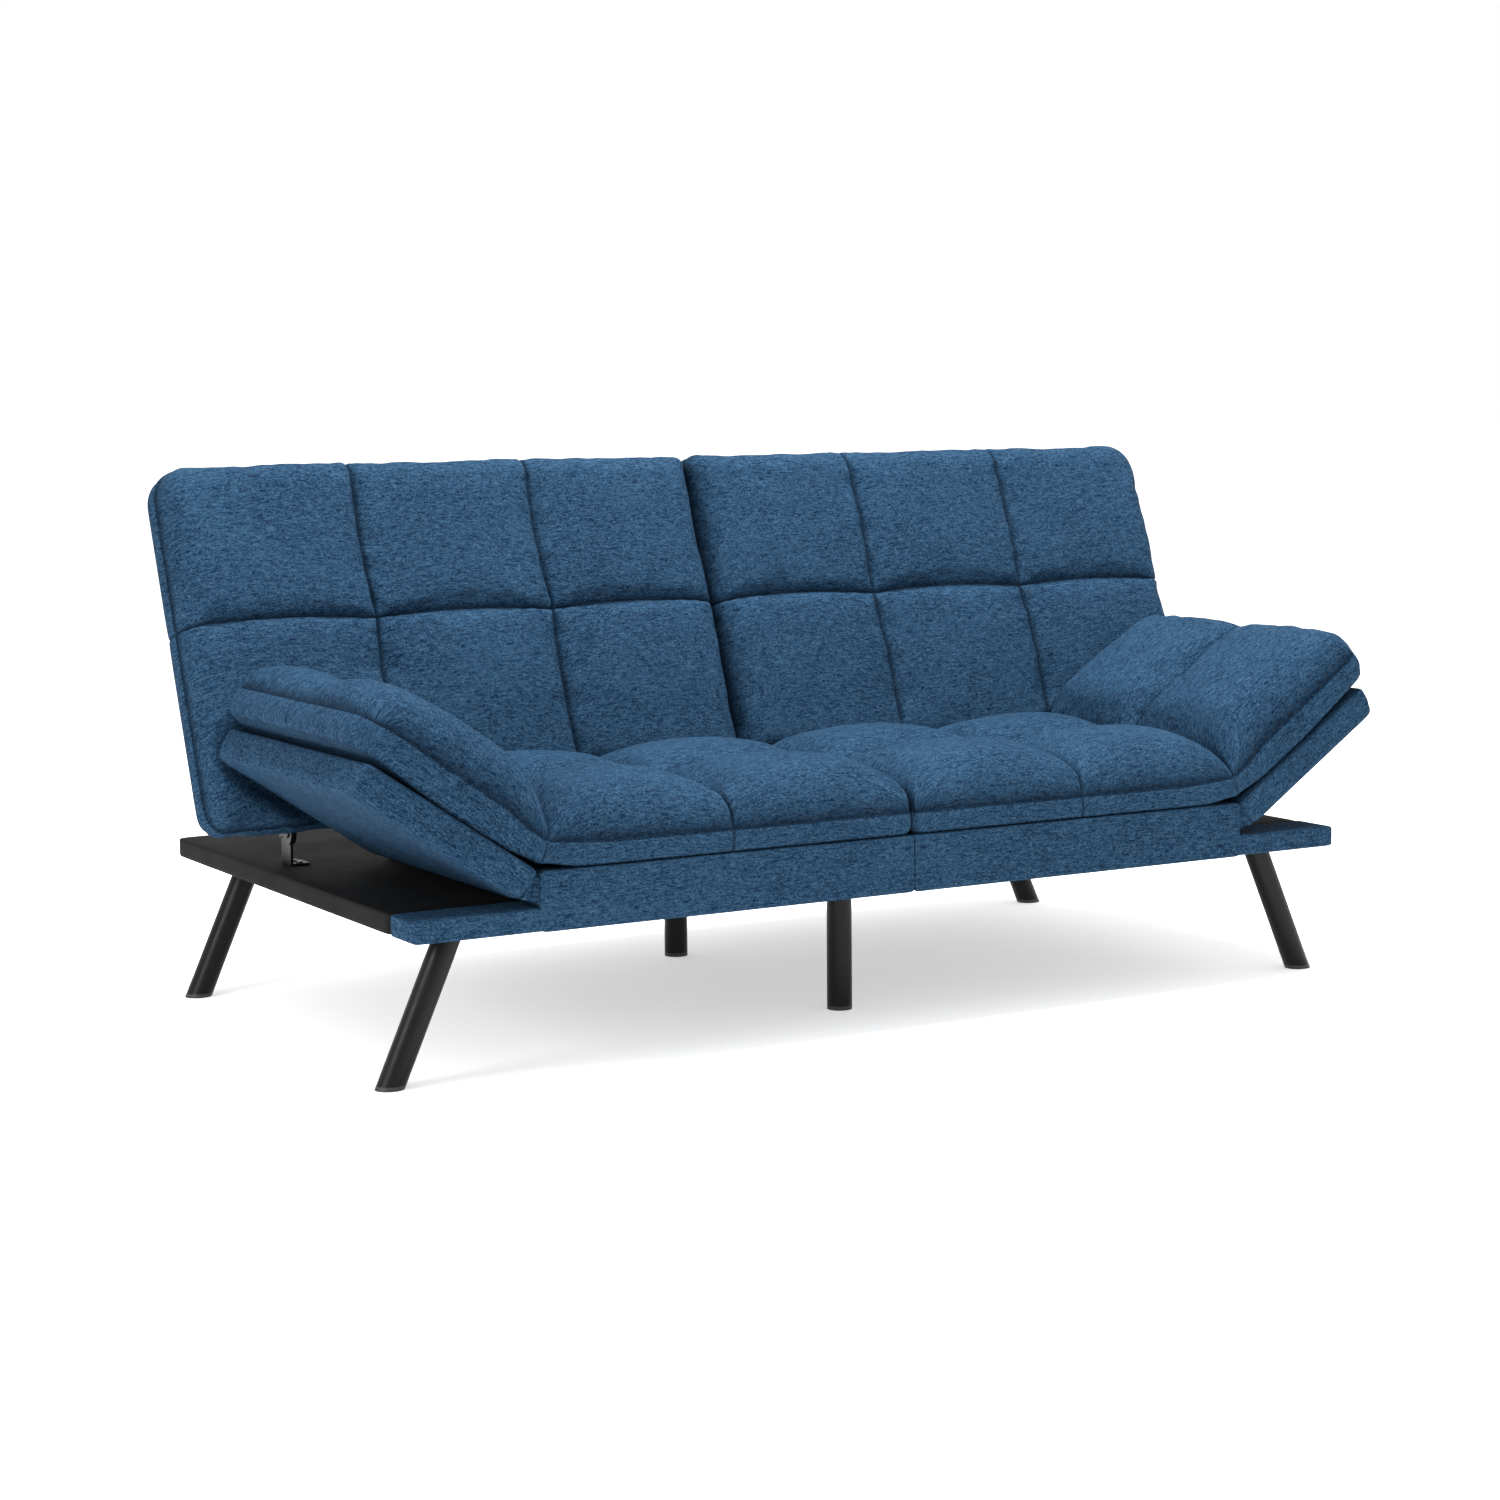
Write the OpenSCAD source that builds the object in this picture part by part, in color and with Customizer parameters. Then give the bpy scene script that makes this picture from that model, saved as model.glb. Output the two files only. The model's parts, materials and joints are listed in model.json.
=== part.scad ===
// Split-back futon sofa bed: a platform on splayed tube legs, a slatted seat frame, two hinged
// side arms and two hinged back halves, each with a tufted pad. Millimetres, +Z up, front at -Y.
// The origin is on the floor under the middle of the platform. Both back halves and both arms
// fold down to lie level with the seat frame.

/* [Platform] */
// Width of the platform
base_w = 1574; // [1400:2:1900]
// Depth of the platform
base_d = 912; // [840:2:1100]
// Thickness of the platform
base_t = 32; // [28:1:45]
// Height of the platform's underside over the floor
leg_h = 208; // [150:1:260]
// How far the blue front wrap reaches back over the platform
apron_d = 80; // [60:1:110]

/* [Seat] */
// Width of the seat between the arm hinges
seat_w = 1200; // [1000:2:1450]
// Depth of the seat frame
seat_d = 525; // [440:1:620]
// Thickness of the seat frame, the arm boards and the back boards
board_t = 51; // [42:1:62]
// Height of the seat pad over its frame
seat_pad_t = 105; // [85:1:128]
// Gap between the seat pad and the back pad's lower corner, along the whole recline
pad_gap = 2; // [1:0.5:6]

/* [Arms] */
// Length of an arm board, from its hinge to its tip
arm_l = 290; // [230:1:340]
// Depth of an arm board, front to rear
arm_d = 505; // [420:1:520]
// Height of an arm pad over its board
arm_pad_t = 108; // [75:1:115]
// How far an arm pad stands out past its board's tip
arm_pad_over = 36; // [0:1:44]
// Angle of an arm over the level position
arm_rest = 34; // [15:1:60]

/* [Back] */
// Width of both back halves together
back_w = 1760; // [1500:2:2100]
// Length of a back board, from its lower to its upper edge
back_l = 471; // [390:1:560]
// Height of a back pad over its board
back_pad_t = 90; // [72:1:110]
// How far a back pad hangs over its board's lower edge
back_pad_low = 10; // [0:1:20]
// How far a back pad stands over its board's upper edge
back_pad_high = 36; // [0:1:40]
// Lean of the back from upright
back_lean = 21; // [12:1:35]
// Gap between the two back halves
half_gap = 3; // [2:0.5:8]
// Distance of the back hinge behind the seat frame
hinge_back = 4; // [4:1:12]
// Distance from the back hinge to the back board's lower edge
hinge_reach = 42; // [40:1:60]

// Gap that a board folded flat keeps to the platform and to the seat frame
fold_gap = 0.5; // [0.3:0.1:3]

/* [Pads] */
// Thickness of a pad at its sewn edge
pad_edge = 48; // [38:1:60]
// How far a pad's crown starts inside its edge
pad_round = 34; // [20:1:45]
// Radius of a pad's corners in plan
pad_corner = 40; // [20:1:60]
// Clearance between an arm's pad and the dent that it presses into the back pad
dent_clear = 1; // [0.5:0.5:5]

/* [Timber and covers] */
// Thickness of the fabric skins
cover_t = 2; // [1:0.5:3]
// Width of a frame's long rails
rail_w = 60; // [45:1:75]
// Width of a frame's slats
slat_w = 50; // [40:1:70]
// Widest gap between two slats
slat_gap = 125; // [80:1:140]
// Width of the rail under the seat's rear edge
mid_rail_w = 110; // [90:1:140]

/* [Legs] */
// Outer diameter of a leg tube
leg_d = 38; // [30:1:45]
// Wall of a leg tube
leg_wall = 1.5; // [1:0.5:3]
// Distance of a corner leg's foot from the middle, sideways
foot_x = 790; // [650:1:900]
// Distance of a corner leg's top from the middle, sideways
leg_top_x = 697; // [600:1:760]
// Distance of the corner legs from the platform's front or rear edge
leg_inset = 85; // [65:1:140]
// Distance of the middle legs from the front edge
mid_leg_y = [208, 720];
// Width of a leg's mounting plate
plate_w = 110; // [100:1:130]
// Depth of a leg's mounting plate
plate_d = 96; // [80:1:120]
// Thickness of a leg's mounting plate
plate_t = 3; // [2:0.5:5]
// Height of the plastic glide under a leg
glide_h = 6; // [4:1:10]
// Height of the glide's plug inside the tube
glide_plug = 16; // [10:1:30]

/* [Hinges] */
// Thickness of a hinge plate
hinge_t = 4; // [3:0.5:6]
// Gap between the two plates of a hinge
hinge_gap = 0.4; // [0.3:0.1:1]
// Width of a hinge plate's strap
strap_w = 24; // [18:1:28]
// Depth of a strap's upper edge under the board's face
strap_in = 7; // [6:1:10]
// Length of an arm hinge's strap
arm_strap_l = 110; // [80:1:140]
// Radius of an arm hinge's ratchet disc
arm_disc_r = 14; // [11:0.5:16]
// Radius of an arm hinge's pin
arm_pin_r = 4; // [3:0.5:5]
// Distance of the arm hinges from the front edge
arm_hinge_y = [96, 400];
// Length of a back hinge's strap past the board's lower edge
back_strap_l = 120; // [90:1:160]
// Radius of a back hinge's disc
back_disc_r = 18; // [14:0.5:22]
// Radius of a back hinge's pin
back_pin_r = 5; // [4:0.5:6]
// Distance of the back hinges from the middle
back_hinge_x = [85, 745];
// Running clearance of a hinge pin, on the radius
pin_clear = 0.05; // [0.02:0.01:0.1]

/* [Fasteners] */
// Shank radius of a wood screw
screw_r = 2.5; // [2:0.25:3]
// Length of a wood screw under its head
screw_l = 22; // [15:1:25]
// Head height of a screw or bolt
head_h = 2; // [1.5:0.5:3]
// Shank radius of a joining bolt
bolt_r = 4; // [3:0.5:5]
// Clearance of a screw or bolt in its hole, on the radius
hole_clear = 0.1; // [0.05:0.05:0.5]

/* [Hidden] */
$fn = 48;
SIDES = ["left", "right"];

blue = "#3f5a78";
black = "#1b1b1d";
timber = "#c9a877";
steel = "#8d9095";
tiny = 0.01;
base_z = leg_h;
seat_z = base_z + base_t;
hinge_z = seat_z + board_t;
front_y = -base_d/2;
axis_y = front_y + seat_d + hinge_back;
half_base = base_w/2;
half_seat = seat_w/2;
// Thickness of the arm and back boards, which fold down onto the platform
moving_t = board_t - fold_gap;
half_back = back_w/2;
stack_t = 2*hinge_t + hinge_gap;
slot_clear = 1;
disc_clear = 1.5;
block_w = 30;
// Radius that the back pad's lower front corner sweeps about the back hinge
pad_sweep_r = sqrt(pow(hinge_reach - back_pad_low, 2) + pow(back_pad_t, 2)) + pad_gap;
mid_rail_y = seat_d - rail_w;
// Timber blocks over the corner legs' plates
corner_block = plate_w + 40;
leg_end = leg_h - plate_t;
splay = atan((foot_x - leg_top_x)/leg_h);
bolt_x = [for (i = [0, 3]) slat_x(i, half_base) + slat_w/2];
bolt_y = [rail_w/2 + cover_t, seat_d - rail_w/2 - cover_t];
centre_bolt_y = [120, 440, 800];
centre_bolt_z = base_z + base_t/2;
hole_step = 34;
hole_end = 16;
// The back hinges' brackets: places of their screws behind the hinge axis, and their feet
bracket_dy = [8, 26];
bracket_foot_w = 26;
bracket_front = 2 - hinge_back;
bracket_rear = hinge_reach - 8;
nut_h = 6;

// Slats of a frame: how many there are, and where slat i starts
function slat_count(w) = ceil((w - slat_w)/(slat_w + slat_gap)) + 1;
function slat_x(i, w) = cover_t + i*(w - 2*cover_t - slat_w)/(slat_count(w) - 1);
// Places of the screws along a hinge strap, from its free end
function strap_holes(l) = [for (i = [0 : 1]) l - hole_end - i*hole_step];

// ---- helpers ----

module block(x, y, z) {
    translate([x[0], y[0], z[0]]) cube([x[1] - x[0], y[1] - y[0], z[1] - z[0]]);
}

// Draws the right-hand piece, or its mirror image on the left
module on_side(side) {
    if (side == "left") mirror([1, 0, 0]) children();
    else children();
}

// A flat frame of two long rails along X with slats between them, cover_t inside its skin
module slatted(w, d, t) {
    block([cover_t, w - cover_t], [cover_t, cover_t + rail_w], [cover_t, t - cover_t]);
    block([cover_t, w - cover_t], [d - cover_t - rail_w, d - cover_t], [cover_t, t - cover_t]);
    for (i = [0 : slat_count(w) - 1])
        block([slat_x(i, w), slat_x(i, w) + slat_w], [cover_t + rail_w - tiny, d - cover_t - rail_w + tiny],
            [cover_t, t - cover_t]);
}

// A closed fabric skin around a board
module skin(w, d, t) {
    difference() {
        cube([w, d, t]);
        translate([cover_t, cover_t, cover_t]) cube([w - 2*cover_t, d - 2*cover_t, t - 2*cover_t]);
    }
}

// A plain cushion with a thinner sewn edge and a raised middle
module cushion(x, y, t) {
    hull() {
        outline(x, y, 0, pad_edge);
        outline(x, y, pad_round, t);
    }
}

module outline(x, y, inset, h) {
    r = pad_corner;
    for (px = [x[0] + inset + r, x[1] - inset - r], py = [y[0] + inset + r, y[1] - inset - r])
        translate([px, py, 0]) cylinder(r = r, h = h, $fn = 32);
}

// Along Y: one plate of a hinge, with its disc on the axis and its strap towards +X
module plate_y(disc_r, pin_r, reach, drop) {
    rotate([90, 0, 0]) translate([0, 0, -hinge_t]) linear_extrude(hinge_t) difference() {
        union() {
            circle(disc_r);
            translate([0, -drop - strap_w]) square([reach, strap_w]);
        }
        circle(pin_r + pin_clear);
        for (s = strap_holes(reach)) translate([s, -drop - strap_w/2]) circle(screw_r + hole_clear);
    }
}

module cyl_y(r, y0, y1) { translate([0, y0, 0]) rotate([-90, 0, 0]) cylinder(r = r, h = y1 - y0); }
module cyl_x(r, x0, x1) { translate([x0, 0, 0]) rotate([0, 90, 0]) cylinder(r = r, h = x1 - x0); }

// Swaps X and Y
module turn_to_x() { multmatrix([[0, 1, 0, 0], [1, 0, 0, 0], [0, 0, 1, 0]]) children(); }

// ---- places of the moving frames ----

module at_seat_axis() { translate([half_seat, front_y, hinge_z]) children(); }
// The arm is drawn level, from its hinge along +X, and is then tilted up
module at_arm() { translate([half_seat, front_y, hinge_z]) rotate([0, -arm_rest, 0]) children(); }
// The back is drawn level, from its hinge along +Y, and is then tilted up
module at_back() { translate([0, axis_y, hinge_z]) rotate([90 - back_lean, 0, 0]) children(); }
module at_back_axis() { translate([0, axis_y, hinge_z]) children(); }

// ---- platform ----

module base_frame(side) color(timber) on_side(side) difference() {
    translate([0, front_y, base_z]) {
        slatted(half_base, base_d, base_t);
        block([cover_t, half_base - cover_t], [mid_rail_y, mid_rail_y + mid_rail_w],
            [cover_t, base_t - cover_t]);
        for (y = [cover_t, base_d - cover_t - corner_block])
            block([leg_top_x - corner_block/2, half_base - cover_t], [y, y + corner_block],
                [cover_t, base_t - cover_t]);
    }
    platform_holes();
}

module base_skin(y) {
    difference() {
        translate([0, front_y, base_z]) intersection() {
            skin(half_base, base_d, base_t);
            block([0, half_base], y, [0, base_t]);
        }
        platform_holes();
    }
}

module base_cover(side) color(black) on_side(side) base_skin([apron_d, base_d]);
module base_apron(side) color(blue) on_side(side) base_skin([0, apron_d]);

// Every hole through the platform, on the right half
module platform_holes() {
    leg_screw_places() translate([0, 0, base_z - 1]) cylinder(r = screw_r + hole_clear, h = screw_l + 1.5);
    seat_bolt_places() translate([0, 0, base_z - 1]) cylinder(r = bolt_r + hole_clear, h = base_t + 2);
    for (y = centre_bolt_y) translate([0, front_y + y, centre_bolt_z])
        cyl_x(bolt_r + hole_clear, -1, cover_t + slat_w + 2);
    bracket_screw_places() translate([0, 0, seat_z - screw_l])
        cylinder(r = screw_r + hole_clear, h = screw_l + 1);
}

module centre_bolts() color(steel) for (y = centre_bolt_y) translate([0, front_y + y, centre_bolt_z]) {
    cyl_x(bolt_r, -cover_t - slat_w - 2*nut_h, cover_t + slat_w + head_h);
    cyl_x(2*bolt_r, cover_t + slat_w, cover_t + slat_w + 2*head_h);
}

module centre_nuts() color(steel) for (y = centre_bolt_y)
    translate([-cover_t - slat_w - nut_h, front_y + y, centre_bolt_z]) rotate([0, 90, 0]) difference() {
        cylinder(r = 1.85*bolt_r, h = nut_h, $fn = 6);
        translate([0, 0, -1]) cylinder(r = bolt_r + hole_clear/2, h = nut_h + 2);
    }

// ---- seat ----

module seat_frame(side) color(timber) on_side(side) difference() {
    translate([0, front_y, seat_z]) {
        slatted(half_seat, seat_d, board_t);
        for (y = arm_hinge_y) block([half_seat - arm_strap_l - 20, half_seat - cover_t],
            [y - block_w, y], [cover_t, board_t - cover_t]);
    }
    seat_cuts();
    seat_bolt_places() translate([0, 0, seat_z - 1]) cylinder(r = bolt_r + hole_clear, h = board_t + 2);
}

module seat_cover(side) color(blue) on_side(side) difference() {
    translate([0, front_y, seat_z]) skin(half_seat, seat_d, board_t);
    seat_cuts();
    seat_bolt_places() translate([0, 0, seat_z - 1]) cylinder(r = bolt_r + hole_clear, h = board_t + 2);
}

// Slots for the arm hinges' fixed plates and room for the back hinges' discs
module seat_cuts() {
    at_seat_axis() for (y = arm_hinge_y) translate([0, y, 0]) {
        cyl_y(arm_disc_r + disc_clear, -slot_clear, stack_t + slot_clear);
        block([-arm_strap_l - slot_clear, 1], [0, stack_t + slot_clear],
            [-strap_in - strap_w - slot_clear, -strap_in + slot_clear]);
        for (s = strap_holes(arm_strap_l)) translate([-s, 0, -strap_in - strap_w/2])
            cyl_y(screw_r + hole_clear, -screw_l, 0.5);
    }
    at_back_axis() for (x = back_hinge_x) translate([x, 0, 0])
        cyl_x(back_disc_r + disc_clear, -head_h - slot_clear, stack_t + head_h + slot_clear);
}

module seat_pad(side) color(blue) on_side(side) difference() {
    translate([0, front_y, hinge_z]) cushion([half_gap/2, half_seat], [0, seat_d], seat_pad_t);
    at_back_axis() cyl_x(pad_sweep_r, -1, half_back);
    // The crease at the arm leans half as far as the arm, and clears the hinge
    at_seat_axis() {
        rotate([0, -arm_rest/2, 0]) block([-pad_gap/2, 200], [-1, seat_d + 1], [-200, 2*seat_pad_t]);
        cyl_y(arm_disc_r + disc_clear, -1, seat_d + 1);
    }
    at_back() block([-1, half_back + 1], [hinge_reach - back_pad_low - pad_gap, 2*back_l],
        [-board_t, back_pad_t + pad_gap]);
}

// Bolts that hold the seat frame down on the platform, two rows in each half
module seat_bolt_places() for (x = bolt_x, y = bolt_y) translate([x, front_y + y, 0]) children();

module seat_bolts() color(steel) for (side = SIDES) on_side(side) seat_bolt_places() {
    translate([0, 0, base_z - head_h]) {
        cylinder(r = bolt_r, h = head_h + base_t + board_t - cover_t);
        cylinder(r = 2*bolt_r, h = head_h);
    }
}

// ---- legs ----

// Draws a tube with level ends for a leg whose foot is at y; a corner leg leans by splay
module leg_at(x, y, tilt, r, z0, z1) {
    intersection() {
        translate([x, y, 0]) rotate([0, -tilt, 0]) translate([0, 0, -leg_d]) cylinder(r = r, h = 2*leg_h);
        translate([x - leg_h, y - leg_d, z0]) cube([2*leg_h, 2*leg_d, z1 - z0]);
    }
}

module leg_body(x, y, tilt) {
    difference() {
        leg_at(x, y, tilt, leg_d/2, glide_h, leg_end);
        leg_at(x, y, tilt, leg_d/2 - leg_wall, glide_h - 1, leg_end + 1);
    }
}

module glide_body(x, y, tilt) {
    leg_at(x, y, tilt, leg_d/2, 0, glide_h);
    leg_at(x, y, tilt, leg_d/2 - leg_wall - hole_clear, 0, glide_h + glide_plug);
}

module leg_front(side) color(black) on_side(side) leg_body(foot_x, front_y + leg_inset, splay);
module leg_rear(side) color(black) on_side(side) leg_body(foot_x, -front_y - leg_inset, splay);
module leg_middle(y) color(black) leg_body(0, front_y + y, 0);
module glide_front(side) color(black) on_side(side) glide_body(foot_x, front_y + leg_inset, splay);
module glide_rear(side) color(black) on_side(side) glide_body(foot_x, -front_y - leg_inset, splay);
module glide_middle(y) color(black) glide_body(0, front_y + y, 0);

// Centres of the mounting plates: four at the corners and two across the middle seam
plate_places = [for (x = [-leg_top_x, leg_top_x], y = [front_y + leg_inset, -front_y - leg_inset]) [x, y],
    for (y = mid_leg_y) [0, front_y + y]];
screw_dx = plate_w/2 - hole_end;
screw_dy = plate_d/2 - hole_end;

module leg_plates() color(black) for (p = plate_places)
    translate([p[0], p[1], base_z - plate_t]) difference() {
    translate([-plate_w/2, -plate_d/2, 0]) cube([plate_w, plate_d, plate_t]);
    for (dx = [-screw_dx, screw_dx], dy = [-screw_dy, screw_dy])
        translate([dx, dy, -1]) cylinder(r = screw_r + hole_clear, h = plate_t + 2);
}

module leg_screw_places() for (p = plate_places, dx = [-screw_dx, screw_dx], dy = [-screw_dy, screw_dy])
    if (p[0] + dx > 0) translate([p[0] + dx, p[1] + dy, 0]) children();

module leg_screws() color(steel) for (side = SIDES) on_side(side) leg_screw_places()
    translate([0, 0, base_z - plate_t - head_h]) {
        cylinder(r = screw_r, h = head_h + screw_l);
        cylinder(r = 2*screw_r, h = head_h);
    }

// ---- arm hinges ----

module arm_hinge_base(side) color(steel) on_side(side) at_seat_axis()
    for (y = arm_hinge_y) translate([0, y, 0]) mirror([1, 0, 0])
        plate_y(arm_disc_r, arm_pin_r, arm_strap_l, strap_in);

module arm_hinge_leaf(side) color(steel) on_side(side) at_arm()
    for (y = arm_hinge_y) translate([0, y + hinge_t + hinge_gap, 0]) difference() {
        plate_y(arm_disc_r, arm_pin_r, arm_strap_l, strap_in);
        // Ratchet notches around the free half of the disc
        for (a = [100 : 16 : 244]) rotate([0, -a, 0]) translate([arm_disc_r, 0, 0])
            cyl_y(1.4, -1, hinge_t + 1, $fn = 24);
    }

module arm_hinge_pins(side) color(steel) on_side(side) at_seat_axis()
    for (y = arm_hinge_y) translate([0, y, 0]) {
        cyl_y(arm_pin_r, 0, stack_t + slot_clear - hole_clear);
        cyl_y(arm_pin_r + 3, -slot_clear + hole_clear, 0);
        cyl_y(arm_pin_r + 3, stack_t + hole_clear, stack_t + slot_clear - hole_clear);
    }

// ---- back hinges ----

module back_hinge_base(side) color(steel) on_side(side)
    at_back_axis() for (x = back_hinge_x) translate([x, 0, 0]) {
    drop = hinge_z - seat_z;
    difference() {
        union() {
            cyl_x(back_disc_r, 0, hinge_t);
            block([0, hinge_t], [bracket_front, bracket_rear], [-drop, 0]);
            block([-bracket_foot_w, hinge_t], [bracket_front, bracket_rear], [-drop, -drop + hinge_t]);
        }
        cyl_x(back_pin_r + pin_clear, -1, hinge_t + 1);
        for (y = bracket_dy) translate([-bracket_foot_w/2, y, -drop - 1])
            cylinder(r = screw_r + hole_clear, h = hinge_t + 2);
    }
}

module bracket_screw_places() for (x = back_hinge_x, y = bracket_dy)
    translate([x - bracket_foot_w/2, axis_y + y, 0]) children();

module back_hinge_leaf(side) color(steel) on_side(side) at_back()
    for (x = back_hinge_x) translate([x + hinge_t + hinge_gap, 0, 0]) turn_to_x()
        plate_y(back_disc_r, back_pin_r, hinge_reach + back_strap_l, strap_in);

module back_hinge_pins(side) color(steel) on_side(side)
    at_back_axis() for (x = back_hinge_x) translate([x, 0, 0]) {
    cyl_x(back_pin_r, 0, stack_t + head_h);
    cyl_x(back_pin_r + 3, -head_h, 0);
    cyl_x(back_pin_r + 3, stack_t + hole_clear, stack_t + head_h);
}

module hinge_base_screws() color(steel) for (side = SIDES) on_side(side) {
    bracket_screw_places() translate([0, 0, seat_z + hinge_t]) {
        translate([0, 0, -screw_l]) cylinder(r = screw_r, h = screw_l + head_h);
        cylinder(r = 2*screw_r, h = head_h);
    }
    at_seat_axis() for (y = arm_hinge_y, s = strap_holes(arm_strap_l))
        translate([-s, y, -strap_in - strap_w/2]) {
        cyl_y(screw_r, hinge_t - screw_l, hinge_t + head_h);
        cyl_y(2*screw_r, hinge_t, hinge_t + head_h);
    }
}

// ---- arms ----

module arm_frame(side) color(timber) on_side(side) difference() {
    at_arm() translate([fold_gap, 0, -moving_t]) {
        // The arm's long rails run front to rear
        turn_to_x() slatted(arm_d, arm_l - fold_gap, moving_t);
        for (y = arm_hinge_y) block([cover_t, arm_strap_l + 20], [y + stack_t, y + stack_t + block_w],
            [cover_t, moving_t - cover_t]);
    }
    arm_cuts();
}

module arm_cover(side) color(blue) on_side(side) difference() {
    at_arm() translate([fold_gap, 0, -moving_t]) skin(arm_l - fold_gap, arm_d, moving_t);
    arm_cuts();
}

module arm_cuts() at_arm() for (y = arm_hinge_y) translate([0, y, 0]) {
    cyl_y(arm_disc_r + disc_clear, -slot_clear, stack_t + slot_clear);
    block([-1, arm_strap_l + slot_clear], [-slot_clear, stack_t],
        [-strap_in - strap_w - slot_clear, -strap_in + slot_clear]);
    for (s = strap_holes(arm_strap_l)) translate([s, 0, -strap_in - strap_w/2])
        cyl_y(screw_r + hole_clear, stack_t - 0.5, stack_t + screw_l);
}

module arm_pad(side) color(blue) on_side(side) at_arm() difference() {
    cushion([0, arm_l + arm_pad_over], [0, arm_d], arm_pad_t);
    rotate([0, arm_rest/2, 0]) block([-200, pad_gap/2], [-1, arm_d + 1], [-200, 2*arm_pad_t]);
    cyl_y(arm_disc_r + disc_clear, -1, arm_d + 1);
}

module arm_hinge_screws(side) color(steel) on_side(side) at_arm()
    for (y = arm_hinge_y, s = strap_holes(arm_strap_l)) translate([s, y, -strap_in - strap_w/2]) {
        cyl_y(screw_r, hinge_t + hinge_gap - head_h, hinge_t + hinge_gap + screw_l);
        cyl_y(2*screw_r, hinge_t + hinge_gap - head_h, hinge_t + hinge_gap);
    }

// ---- back halves ----

module back_frame(side) color(timber) on_side(side) difference() {
    at_back() translate([half_gap/2, hinge_reach, -moving_t]) {
        slatted(half_back - half_gap/2, back_l, moving_t);
        for (x = back_hinge_x) {
            x0 = x + stack_t - half_gap/2;
            block([x0, x0 + block_w], [cover_t, back_strap_l + 20], [cover_t, moving_t - cover_t]);
        }
    }
    back_cuts();
}

module back_cover(side) color(blue) on_side(side) difference() {
    at_back() translate([half_gap/2, hinge_reach, -moving_t])
        skin(half_back - half_gap/2, back_l, moving_t);
    back_cuts();
}

module back_cuts() at_back() for (x = back_hinge_x) translate([x, 0, 0]) {
    block([hinge_t + hinge_gap - head_h - slot_clear, stack_t], [0, hinge_reach + back_strap_l + slot_clear],
        [-strap_in - strap_w - slot_clear, -strap_in + slot_clear]);
    for (s = strap_holes(hinge_reach + back_strap_l)) translate([0, s, -strap_in - strap_w/2])
        cyl_x(screw_r + hole_clear, stack_t - 0.5, stack_t + screw_l);
}

module back_pad(side) color(blue) on_side(side) difference() {
    at_back() cushion([half_gap/2, half_back],
        [hinge_reach - back_pad_low, hinge_reach + back_l + back_pad_high], back_pad_t);
    // The arm at rest presses a dent into the pad's lower outer corner
    at_arm() block([-arm_pad_t, arm_l + arm_pad_over + dent_clear], [-1, arm_d + dent_clear],
        [-board_t - dent_clear, arm_pad_t + dent_clear]);
}

module back_hinge_screws(side) color(steel) on_side(side) at_back()
    for (x = back_hinge_x, s = strap_holes(hinge_reach + back_strap_l))
        translate([x + hinge_t + hinge_gap, s, -strap_in - strap_w/2]) {
            cyl_x(screw_r, -head_h, screw_l);
            cyl_x(2*screw_r, -head_h, 0);
        }

// ---- nodes ----

for (side = SIDES) {
    base_frame(side);
    base_cover(side);
    base_apron(side);
    seat_frame(side);
    seat_cover(side);
    seat_pad(side);
    leg_front(side);
    leg_rear(side);
    glide_front(side);
    glide_rear(side);
    arm_hinge_base(side);
    arm_hinge_pins(side);
    back_hinge_base(side);
    back_hinge_pins(side);
    arm_frame(side);
    arm_cover(side);
    arm_pad(side);
    arm_hinge_leaf(side);
    arm_hinge_screws(side);
    back_frame(side);
    back_cover(side);
    back_pad(side);
    back_hinge_leaf(side);
    back_hinge_screws(side);
}
leg_middle(mid_leg_y[0]);  // leg_middle_front
leg_middle(mid_leg_y[1]);  // leg_middle_rear
leg_plates();
leg_screws();
glide_middle(mid_leg_y[0]);  // glide_middle_front
glide_middle(mid_leg_y[1]);  // glide_middle_rear
seat_bolts();
centre_bolts();
centre_nuts();
hinge_base_screws();
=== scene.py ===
"""Futon sofa bed: quilted pads on hinged boards, a wrapped platform and splayed tube legs.

Every length is in metres, in the CAD model's frame: +X right, +Y back, +Z up, floor at z = 0.
"""

import json
import math

import bpy
import numpy as np
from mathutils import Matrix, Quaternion, Vector, noise

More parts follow.
